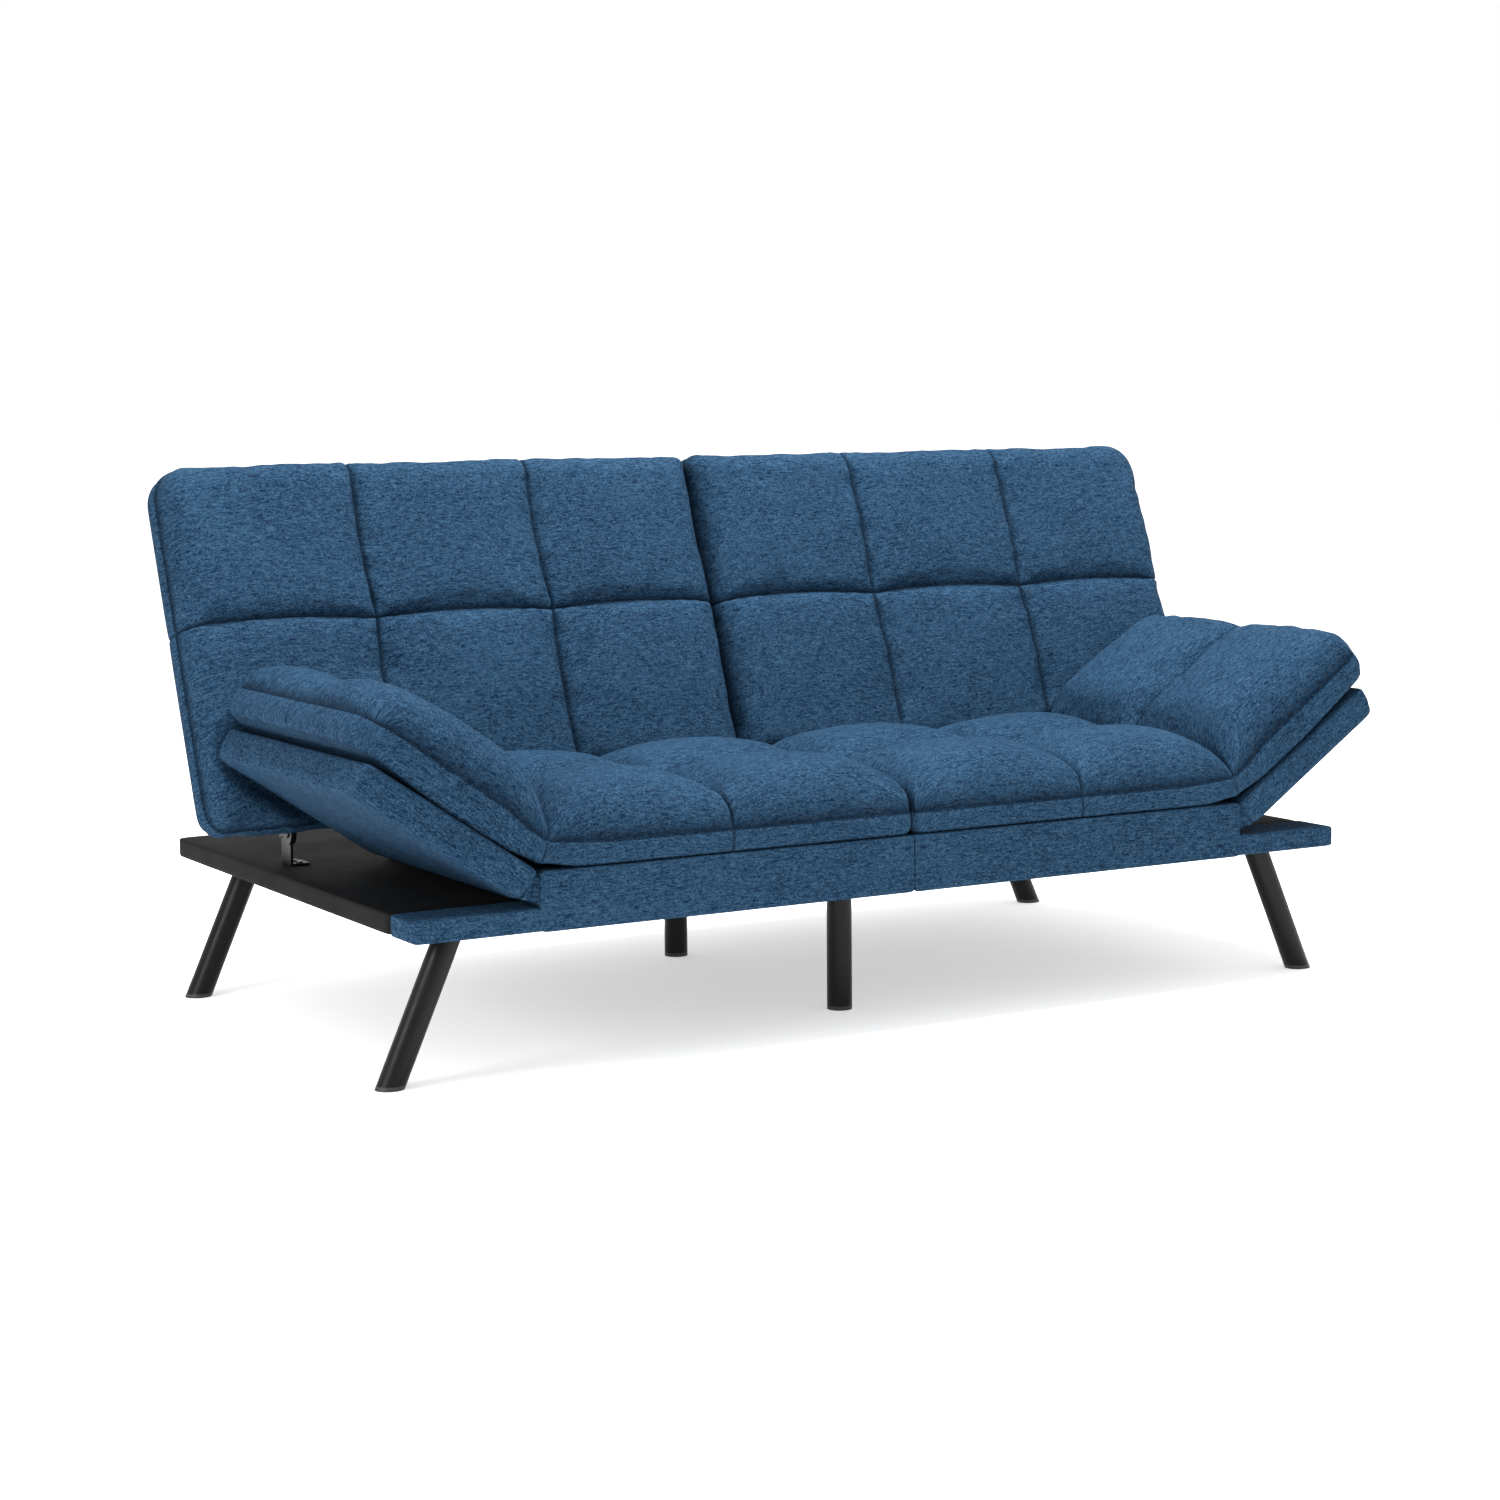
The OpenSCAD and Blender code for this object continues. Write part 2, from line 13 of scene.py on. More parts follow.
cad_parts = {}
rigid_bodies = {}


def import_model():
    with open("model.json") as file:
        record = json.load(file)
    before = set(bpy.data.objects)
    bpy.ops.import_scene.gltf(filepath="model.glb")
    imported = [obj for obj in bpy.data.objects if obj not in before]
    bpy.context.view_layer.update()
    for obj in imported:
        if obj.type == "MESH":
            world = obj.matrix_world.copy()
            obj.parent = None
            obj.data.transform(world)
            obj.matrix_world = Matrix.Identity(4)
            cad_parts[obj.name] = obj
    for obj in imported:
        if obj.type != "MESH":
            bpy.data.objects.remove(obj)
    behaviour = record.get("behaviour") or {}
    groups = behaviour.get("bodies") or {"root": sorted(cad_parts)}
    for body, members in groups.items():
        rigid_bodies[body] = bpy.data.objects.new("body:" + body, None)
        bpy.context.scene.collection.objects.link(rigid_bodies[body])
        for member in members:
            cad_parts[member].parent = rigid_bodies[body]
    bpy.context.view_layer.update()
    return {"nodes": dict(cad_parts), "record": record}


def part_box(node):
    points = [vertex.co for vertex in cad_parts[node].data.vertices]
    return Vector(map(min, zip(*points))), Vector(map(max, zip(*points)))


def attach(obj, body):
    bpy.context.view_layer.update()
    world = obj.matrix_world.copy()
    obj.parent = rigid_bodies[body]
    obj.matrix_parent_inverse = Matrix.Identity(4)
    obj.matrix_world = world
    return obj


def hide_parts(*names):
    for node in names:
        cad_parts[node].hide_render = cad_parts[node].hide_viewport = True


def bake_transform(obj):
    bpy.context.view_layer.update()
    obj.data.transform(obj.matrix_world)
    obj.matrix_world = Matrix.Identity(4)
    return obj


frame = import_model()
SIDES = ("left", "right")
SIGN = {"left": -1.0, "right": 1.0}
JOINTS = {joint["name"]: joint for joint in frame["record"]["behaviour"]["joints"]}

# ---------------------------------------------------------------- camera

CAMERA_AT = (-2.3684, -4.0582, 0.9373)
CAMERA_TURN = math.radians(-30.18)  # from straight back, towards +X
CAMERA_DIP = math.radians(6.90)
CAMERA_ROLL = math.radians(-0.52)
CAMERA_LENS = 72.45  # millimetres


def make_camera():
    """The camera at the viewing angle, on a 36 mm sensor."""
    data = bpy.data.cameras.new("camera")
    data.lens, data.sensor_width = CAMERA_LENS, 36.0
    camera = bpy.data.objects.new("camera", data)
    bpy.context.scene.collection.objects.link(camera)
    ahead = Vector((-math.sin(CAMERA_TURN) * math.cos(CAMERA_DIP),
                    math.cos(CAMERA_TURN) * math.cos(CAMERA_DIP), -math.sin(CAMERA_DIP)))
    camera.rotation_mode = "QUATERNION"
    camera.rotation_quaternion = ahead.to_track_quat("-Z", "Y") @ Quaternion((0, 0, 1), CAMERA_ROLL)
    camera.location = CAMERA_AT
    bpy.context.scene.camera = camera


make_camera()

# ---------------------------------------------------------------- places


class Place:
    """A board's own frame: u along the board from its hinge or seam, v across it, w out of its face."""

    def __init__(self, origin, u, v, w):
        self.origin = np.array(origin, float)
        self.axes = np.array([u, v, w], float)

    def world(self, points):
        return self.origin + np.asarray(points, float) @ self.axes

    def local(self, points):
        return (np.asarray(points, float) - self.origin) @ self.axes.T

    def flipped(self):
        return np.linalg.det(self.axes) < 0


def node_points(node):
    """The vertices of a CAD node."""
    mesh = frame["nodes"][node].data
    points = np.empty(len(mesh.vertices) * 3)
    mesh.vertices.foreach_get("co", points)
    return points.reshape(-1, 3)


def extent(place, node):
    """Lowest and highest u, v, w of a CAD node in a board's frame."""
    points = place.local(node_points(node))
    return points.min(0), points.max(0)


SEAT_LOW, SEAT_HIGH = (np.array(corner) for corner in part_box("seat_cover_right"))
HINGE_Z = SEAT_HIGH[2]
FRONT_Y = SEAT_LOW[1]
ARM_TILT = -math.radians(JOINTS["arm_right_tilt"]["range_deg"][0])
BACK_TILT = math.radians(JOINTS["back_right_recline"]["range_deg"][1])
BACK_AXIS = JOINTS["back_right_recline"]["pos_m"]


def half_place(side):
    """One half of the sofa bed seen as its right half: u runs out from the middle."""
    return Place((0, 0, 0), (SIGN[side], 0, 0), (0, 1, 0), (0, 0, 1))


def seat_place(side):
    return Place((0, FRONT_Y, HINGE_Z), (SIGN[side], 0, 0), (0, 1, 0), (0, 0, 1))


def arm_place(side):
    c, s, k = math.cos(ARM_TILT), math.sin(ARM_TILT), SIGN[side]
    return Place((k * SEAT_HIGH[0], FRONT_Y, HINGE_Z), (k * c, 0, s), (0, 1, 0), (-k * s, 0, c))


def back_place(side):
    c, s, k = math.cos(BACK_TILT), math.sin(BACK_TILT), SIGN[side]
    return Place((0, BACK_AXIS[1], BACK_AXIS[2]), (k, 0, 0), (0, c, s), (0, -s, c))


# ---------------------------------------------------------------- node helpers


class Tree:
    """Short calls for building a node tree."""

    def __init__(self, tree):
        self.tree = tree

    def add(self, kind, **values):
        node = self.tree.nodes.new(kind)
        for name, value in values.items():
            setattr(node, name, value)
        return node

    def join(self, source, target):
        self.tree.links.new(source, target)

    def math(self, operation, a, b=None):
        node = self.add("ShaderNodeMath", operation=operation)
        for socket, value in zip(node.inputs, (a, b)):
            self.put(socket, value)
        return node.outputs[0]

    def line(self, value, slope, start):
        """The value times a slope, plus a start: a number or another value."""
        return self.math("ADD", self.math("MULTIPLY", value, slope), start)

    def put(self, socket, value):
        """Links a socket, or sets its value."""
        if value is None:
            return
        if isinstance(value, bpy.types.NodeSocket):
            self.join(value, socket)
        else:
            socket.default_value = value

    def scaled(self, vector, scale):
        node = self.add("ShaderNodeMapping")
        self.join(vector, node.inputs["Vector"])
        node.inputs["Scale"].default_value = scale
        return node.outputs[0]

    def noise(self, vector, scale, detail=2.0, rough=0.5, warp=0.0):
        node = self.add("ShaderNodeTexNoise")
        self.join(vector, node.inputs["Vector"])
        for name, value in (("Scale", scale), ("Detail", detail), ("Roughness", rough), ("Distortion", warp)):
            node.inputs[name].default_value = value
        return node.outputs["Fac"]

    def ramp(self, value, low, high):
        node = self.add("ShaderNodeMapRange", clamp=True)
        self.join(value, node.inputs["Value"])
        node.inputs["From Min"].default_value = low
        node.inputs["From Max"].default_value = high
        return node.outputs["Result"]

    def mix(self, factor, a, b):
        node = self.add("ShaderNodeMix", data_type="RGBA")
        self.put(node.inputs[0], factor)
        self.put(node.inputs[6], a)
        self.put(node.inputs[7], b)
        return node.outputs[2]


def new_group(name, inputs, outputs):
    """A shader group with named sockets; gives its Tree, its inputs and the sockets to fill."""
    tree = bpy.data.node_groups.new(name, "ShaderNodeTree")
    for label, kind, value in inputs:
        socket = tree.interface.new_socket(label, in_out="INPUT", socket_type=kind)
        if value is not None:
            socket.default_value = value
    for label, kind in outputs:
        tree.interface.new_socket(label, in_out="OUTPUT", socket_type=kind)
    build = Tree(tree)
    return build, build.add("NodeGroupInput").outputs, build.add("NodeGroupOutput").inputs


# ---------------------------------------------------------------- shader groups

THREAD = 0.0011  # pitch of the upholstery's yarns
# How often each unevenness of the weave repeats in a metre, along and across the cloth
SLUB = (64, 330, 1)  # long thick yarns
FLECK = (150, 520, 1)  # short light bits
UPRIGHT = (400, 110, 1)  # yarns across the long ones
SQUIGGLE = (105, 240, 1)  # loose light yarns, drawn where this noise crosses its middle


def make_weave():
    """Heathered plain weave. Weave is a vector in metres along and across the cloth."""
    t, given, out = new_group(
        "heather weave",
        [("Weave", "NodeSocketVector", None), ("Place", "NodeSocketVector", None)],
        [("Tone", "NodeSocketFloat"), ("Light Yarn", "NodeSocketFloat"), ("Height", "NodeSocketFloat")])
    weave, place = given["Weave"], given["Place"]
    slub = t.noise(t.scaled(weave, SLUB), 1.0, 3.0, 0.6, 0.9)
    fleck = t.noise(t.scaled(weave, FLECK), 1.0, 2.0, 0.6, 1.2)
    upright = t.noise(t.scaled(weave, UPRIGHT), 1.0, 2.0, 0.55, 0.6)
    squiggle = t.noise(t.scaled(weave, SQUIGGLE), 1.0, 1.0, 0.5, 1.1)
    from_middle = t.math("ABSOLUTE", t.math("SUBTRACT", squiggle, 0.5))
    cloud = t.noise(place, 7.0, 2.0, 0.5)
    mixed = t.line(slub, 0.5, t.math("MULTIPLY", fleck, 0.3))
    mixed = t.line(upright, 0.2, mixed)
    t.join(t.ramp(t.line(t.math("SUBTRACT", cloud, 0.5), 0.10, mixed), 0.42, 0.585), out["Tone"])
    lines = t.math("MULTIPLY", t.math("SUBTRACT", 1.0, t.ramp(from_middle, 0.012, 0.045)), 0.75)
    t.join(t.math("MAXIMUM", t.math("MULTIPLY", t.ramp(fleck, 0.58, 0.72), 0.7), lines), out["Light Yarn"])
    split = t.add("ShaderNodeSeparateXYZ")
    t.join(weave, split.inputs[0])
    turn = 2 * math.pi / THREAD
    warp_yarn = t.math("SINE", t.math("MULTIPLY", split.outputs[0], turn))
    weft_yarn = t.math("SINE", t.math("MULTIPLY", split.outputs[1], turn))
    crossings = t.math("MULTIPLY", warp_yarn, weft_yarn)
    t.join(t.line(crossings, 0.25, t.math("MULTIPLY", mixed, 1.6)), out["Height"])
    return t.tree


def make_marks():
    """Fine uneven marks that dull a surface, from 0 to 1."""
    t, given, out = new_group(
        "fine marks",
        [("Place", "NodeSocketVector", None), ("Size", "NodeSocketFloat", 1.0)],
        [("Marks", "NodeSocketFloat"), ("Grain", "NodeSocketFloat")])
    node = t.add("ShaderNodeVectorMath", operation="SCALE")
    t.join(given["Place"], node.inputs[0])
    t.join(given["Size"], node.inputs["Scale"])
    t.join(t.ramp(t.noise(node.outputs[0], 9.0, 5.0, 0.65), 0.40, 0.70), out["Marks"])
    t.join(t.noise(node.outputs[0], 700.0, 2.0, 0.6), out["Grain"])
    return t.tree


def make_edge_wear():
    """Light worn edges, from the bend between the rounded and the plain normal."""
    t, given, out = new_group(
        "edge wear",
        [("Place", "NodeSocketVector", None), ("Rounded", "NodeSocketVector", None),
         ("Plain", "NodeSocketVector", None)],
        [("Wear", "NodeSocketFloat")])
    dot = t.add("ShaderNodeVectorMath", operation="DOT_PRODUCT")
    t.join(given["Rounded"], dot.inputs[0])
    t.join(given["Plain"], dot.inputs[1])
    bend = t.ramp(dot.outputs["Value"], 0.995, 0.90)
    t.join(t.math("MULTIPLY", bend, t.ramp(t.noise(given["Place"], 60.0, 3.0), 0.35, 0.65)), out["Wear"])
    return t.tree


WEAVE = make_weave()
MARKS = make_marks()
EDGE_WEAR = make_edge_wear()

# ---------------------------------------------------------------- materials


def new_material(name):
    """A material, its Tree and its shader."""
    material = bpy.data.materials.new(name)
    material.use_nodes = True
    return material, Tree(material.node_tree), material.node_tree.nodes["Principled BSDF"]


def use_group(t, tree, **inputs):
    """Places a shader group in a material; gives its outputs."""
    node = t.add("ShaderNodeGroup", node_tree=tree)
    for label, value in inputs.items():
        t.put(node.inputs[label.replace("_", " ")], value)
    return node.outputs


def bump(t, height, strength, distance, shader):
    node = t.add("ShaderNodeBump")
    node.inputs["Strength"].default_value = strength
    node.inputs["Distance"].default_value = distance
    t.join(height, node.inputs["Height"])
    t.join(node.outputs[0], shader.inputs["Normal"])


def marked_material(name, size):
    """A material with fine marks of a size: also gives Object coordinates and the marks' outputs."""
    material, t, shader = new_material(name)
    place = t.add("ShaderNodeTexCoord").outputs["Object"]
    return material, t, shader, place, use_group(t, MARKS, Place=place, Size=size)


def upholstery(name, dark, mid, light, shade):
    """The blue cloth. Its weave follows the piece's own map, which is in metres; shade is painted into its
    seams and along the pads' lower edges from a point mask. Its colours are the dark and middle yarns, the
    light ones and the painted shade in the seams."""
    material, t, shader = new_material(name)
    place = t.add("ShaderNodeTexCoord").outputs["Object"]
    weave = t.add("ShaderNodeUVMap", uv_map="weave").outputs["UV"]
    cloth = use_group(t, WEAVE, Weave=weave, Place=place)
    fold = t.add("ShaderNodeAttribute", attribute_name="fold").outputs["Fac"]
    tone = t.mix(cloth["Tone"], (*dark, 1), (*mid, 1))
    tone = t.mix(t.math("MULTIPLY", cloth["Light Yarn"], 0.7), tone, (*light, 1))
    # painted shade: the cloth is darkened towards the shade colour in its seams and along each pad's lower
    # edge
    t.join(t.mix(t.math("MULTIPLY", fold, 0.75), tone, (*shade, 1)), shader.inputs["Base Color"])
    shader.inputs["Roughness"].default_value = 0.92
    shader.inputs["Specular IOR Level"].default_value = 0.04
    bump(t, cloth["Height"], 0.35, 0.0006, shader)
    return material


def lining():
    """Black spun lining on the platform: a faint felted grain with dusty patches."""
    material, t, shader, place, marks = marked_material("black lining", 1.0)
    dots = t.add("ShaderNodeTexVoronoi")
    t.join(place, dots.inputs["Vector"])
    dots.inputs["Scale"].default_value = 420.0
    t.join(t.mix(marks["Marks"], (0.0024, 0.0024, 0.0026, 1), (0.0042, 0.0042, 0.0045, 1)),
           shader.inputs["Base Color"])
    t.join(t.line(marks["Marks"], 0.12, 0.74), shader.inputs["Roughness"])
    shader.inputs["Specular IOR Level"].default_value = 0.12
    height = t.math("ADD", dots.outputs["Distance"], marks["Grain"])
    bump(t, height, 0.35, 0.0005, shader)
    return material


def powder_coat():
    """Black powder coat on steel tube: satin, with a fine orange-peel skin and worn edges."""
    material, t, shader, place, marks = marked_material("black powder coat", 2.0)
    bevel = t.add("ShaderNodeBevel", samples=4)
    bevel.inputs["Radius"].default_value = 0.0012
    plain = t.add("ShaderNodeNewGeometry").outputs["Normal"]
    wear = use_group(t, EDGE_WEAR, Place=place, Rounded=bevel.outputs[0], Plain=plain)
    paint = t.mix(marks["Marks"], (0.0020, 0.0020, 0.0021, 1), (0.0034, 0.0034, 0.0034, 1))
    t.join(t.mix(wear["Wear"], paint, (0.016, 0.016, 0.017, 1)), shader.inputs["Base Color"])
    t.join(t.line(marks["Marks"], 0.10, 0.36), shader.inputs["Roughness"])
    shader.inputs["Specular IOR Level"].default_value = 0.16
    bump(t, t.noise(place, 900.0, 2.0), 0.12, 0.0003, shader)
    return material


def steel():
    """Zinc-plated steel of hinges, bolts and screws."""
    material, t, shader, place, marks = marked_material("zinc steel", 6.0)
    brushed = t.noise(t.scaled(place, (1500, 90, 90)), 1.0, 2.0)
    t.join(t.mix(marks["Marks"], (0.17, 0.17, 0.18, 1), (0.10, 0.10, 0.105, 1)), shader.inputs["Base Color"])
    shader.inputs["Metallic"].default_value = 1.0
    t.join(t.line(brushed, 0.25, 0.28), shader.inputs["Roughness"])
    bump(t, brushed, 0.1, 0.0002, shader)
    return material


def timber():
    """Planed softwood of the hidden frames, with its grain along X."""
    material, t, shader = new_material("planed softwood")
    place = t.add("ShaderNodeTexCoord").outputs["Object"]
    rings = t.noise(t.scaled(place, (3, 45, 60)), 1.0, 4.0, 0.6, 1.2)
    pores = t.noise(t.scaled(place, (40, 900, 900)), 1.0, 2.0)
    t.join(t.mix(t.ramp(rings, 0.35, 0.65), (0.44, 0.27, 0.13, 1), (0.66, 0.47, 0.27, 1)),
           shader.inputs["Base Color"])
    t.join(t.line(pores, 0.2, 0.55), shader.inputs["Roughness"])
    bump(t, pores, 0.2, 0.0004, shader)
    return material


def moulded_plastic():
    """Black moulded glides under the legs, scuffed where they slide."""
    material, t, shader, place, marks = marked_material("moulded plastic", 12.0)
    t.join(t.mix(marks["Marks"], (0.012, 0.012, 0.012, 1), (0.028, 0.028, 0.028, 1)),
           shader.inputs["Base Color"])
    t.join(t.line(marks["Marks"], 0.2, 0.5), shader.inputs["Roughness"])
    bump(t, marks["Grain"], 0.15, 0.0003, shader)
    return material


# the last colour of each is the painted shade in the seams
BLUE_CLOTH = upholstery("blue upholstery", (0.0022, 0.0115, 0.029), (0.0170, 0.0480, 0.092),
                        (0.049, 0.100, 0.161), (0.0010, 0.004, 0.010))
BLUE_THREAD = upholstery("blue thread", (0.004, 0.013, 0.028), (0.008, 0.022, 0.045), (0.015, 0.04, 0.07),
                         (0.001, 0.004, 0.010))
BLACK_LINING = lining()
POWDER_COAT = powder_coat()
ZINC_STEEL = steel()
SOFTWOOD = timber()
PLASTIC = moulded_plastic()

# ---------------------------------------------------------------- mesh helpers


def new_piece(name, points, faces, material):
    mesh = bpy.data.meshes.new(name)
    mesh.from_pydata([tuple(p) for p in points], [], faces)
    mesh.validate()
    mesh.polygons.foreach_set("use_smooth", [True] * len(mesh.polygons))
    piece = bpy.data.objects.new(name, mesh)
    bpy.context.scene.collection.objects.link(piece)
    mesh.materials.append(material)
    return piece


def plain_mesh(piece):
    """Applies a piece's modifiers."""
    graph = bpy.context.evaluated_depsgraph_get()
    mesh = bpy.data.meshes.new_from_object(piece.evaluated_get(graph))
    old = piece.data
    piece.modifiers.clear()
    piece.data = mesh
    bpy.data.meshes.remove(old)


def add_map(piece, coordinates):
    """The weave's map, in metres along and across the cloth at each face corner."""
    piece.data.uv_layers.new(name="weave").data.foreach_set("uv", np.array(coordinates).ravel())


def refine(piece):
    """Subdivides a piece once and keeps the result."""
    subdivision = piece.modifiers.new("fine", "SUBSURF")
    subdivision.levels = subdivision.render_levels = 1
    subdivision.use_limit_surface = False
    plain_mesh(piece)


# ---------------------------------------------------------------- quilted pads

CELL_STEPS = 28  # grid steps across one tuft
BAND_STEPS = (0.04, 0.16, 0.38, 0.62, 0.82, 0.94, 1.0)  # rings from the edge seam down to the underside
BAND_RINGS = len(BAND_STEPS)
SEAM_PINCH = 0.0012  # how far the edge seam is drawn in
BAND_BULGE = 0.0035  # how far the band below the seam stands out
SEAM_BOW = 0.009  # how far a seam bows between crossings
EDGE_SWELL = 0.0025  # how far the top cloth swells beside the edge seam
GROOVE = 0.006  # depth of the stitched groove between tufts
SEAM_NOTCH = 0.003  # how far the band is drawn in below each inner seam
GATHER_DEPTH, GATHER_SIZE, GATHER_REACH = 0.0026, 0.016, 0.022  # gathers that run out from the seams
SOFT_DEPTH, SOFT_SIZE = 0.0030, 0.11  # large unevenness of the filling
LUMP_DEPTH, LUMP_SIZE = 0.0012, 0.045  # small unevenness of the filling
PAINTED_SHADE_REACH = 0.0012  # how far the painted shade of a seam fades
CREASE_ROUND = 0.034  # radius of the top panel where it turns down into the crease


def spread(start, end, at_start, at_end, steps):
    """Steps from start to end that shorten towards each end as its factor says."""
    t = np.linspace(0, 1, steps + 1)
    h = (at_start + at_end - 2) * t**3 + (3 - 2 * at_start - at_end) * t**2 + at_start * t
    return start + (end - start) * h


def grid_lines(edges, steps):
    """Grid positions through a row of tufts, the seams among them, and each one's place in its tuft."""
    values, seams, places = [edges[0]], [0], [-1.0]
    for a, b in zip(edges[:-1], edges[1:]):
        part = spread(a, b, 0.20, 0.20, steps)
        values.extend(part[1:])
        places.extend(2 * (part[1:] - a) / (b - a) - 1)
        seams.append(len(values) - 1)
    return np.array(values), seams, np.array(places)


def corner_list(low, high):
    """A rectangle's corners with the signs of the directions that lead inwards."""
    return ((low[0], low[1], 1, 1), (high[0], low[1], -1, 1), (high[0], high[1], -1, -1),
            (low[0], high[1], 1, -1))


def round_corners(x, y, low, high, radii):
    """Moves the grid's corner zones onto quarter circles, one radius for each corner."""
    x, y = x.copy(), y.copy()
    for (cx, cy, sx, sy), r in zip(corner_list(low, high), radii):
        i = (r - (x - cx) * sx) / r
        j = (r - (y - cy) * sy) / r
        inside = (i > 0) & (j > 0)
        ii = i * np.sqrt(np.clip(1 - j * j / 2, 0, 1))
        jj = j * np.sqrt(np.clip(1 - i * i / 2, 0, 1))
        x = np.where(inside, cx + sx * r * (1 - ii), x)
        y = np.where(inside, cy + sy * r * (1 - jj), y)
    return x, y


def edge_distance(x, y, low, high, radii, crease):
    """Distance in from the outline with rounded corners. A crease end doesn't count."""
    far = np.full_like(x, 9.0)
    near = np.minimum.reduce([far if crease == "low" else x - low[0], far if crease == "high" else high[0] - x,
                              y - low[1], high[1] - y])
    for (cx, cy, sx, sy), r in zip(corner_list(low, high), radii):
        if (crease == "low" and sx > 0) or (crease == "high" and sx < 0):
            continue
        i = r - (x - cx) * sx
        j = r - (y - cy) * sy
        near = np.where((i > 0) & (j > 0), r - np.hypot(i, j), near)
    return np.clip(near, 0, None)


def rim(nu, nv):
    """A grid's edge points in order round it."""
    return ([(i, 0) for i in range(nu)] + [(nu - 1, j) for j in range(1, nv)]
            + [(i, nv - 1) for i in range(nu - 2, -1, -1)] + [(0, j) for j in range(nv - 2, 0, -1)])


def smooth_step(t):
    """0 below 0, 1 above 1 and a smooth rise between."""
    t = np.clip(t, 0, 1)
    return t * t * (3 - 2 * t)


def wave(points, size, seed):
    """Smooth seeded unevenness at each point, about -1 to 1."""
    shift = Vector((seed * 3.7, seed * 1.9, seed * 5.3))
    return np.array([noise.noise(Vector(p) / size + shift) for p in points])


def quarter_round(distance, radius):
    """Rise of a rounded edge: 0 at the edge and 1 from one radius in."""
    return np.sqrt(np.clip(1 - (1 - np.clip(distance / radius, 0, 1)) ** 2, 0, 1))


def pillow(t, power):
    """Fullness across a tuft: steep at the seams, level in the middle."""
    return np.sqrt(np.clip(1 - np.abs(t) ** power, 0, 1))


def grid_normals(grid):
    """Unit normals of a grid of points."""
    across = np.cross(np.gradient(grid, axis=0), np.gradient(grid, axis=1))
    return across / np.maximum(np.linalg.norm(across, axis=2, keepdims=True), 1e-12)


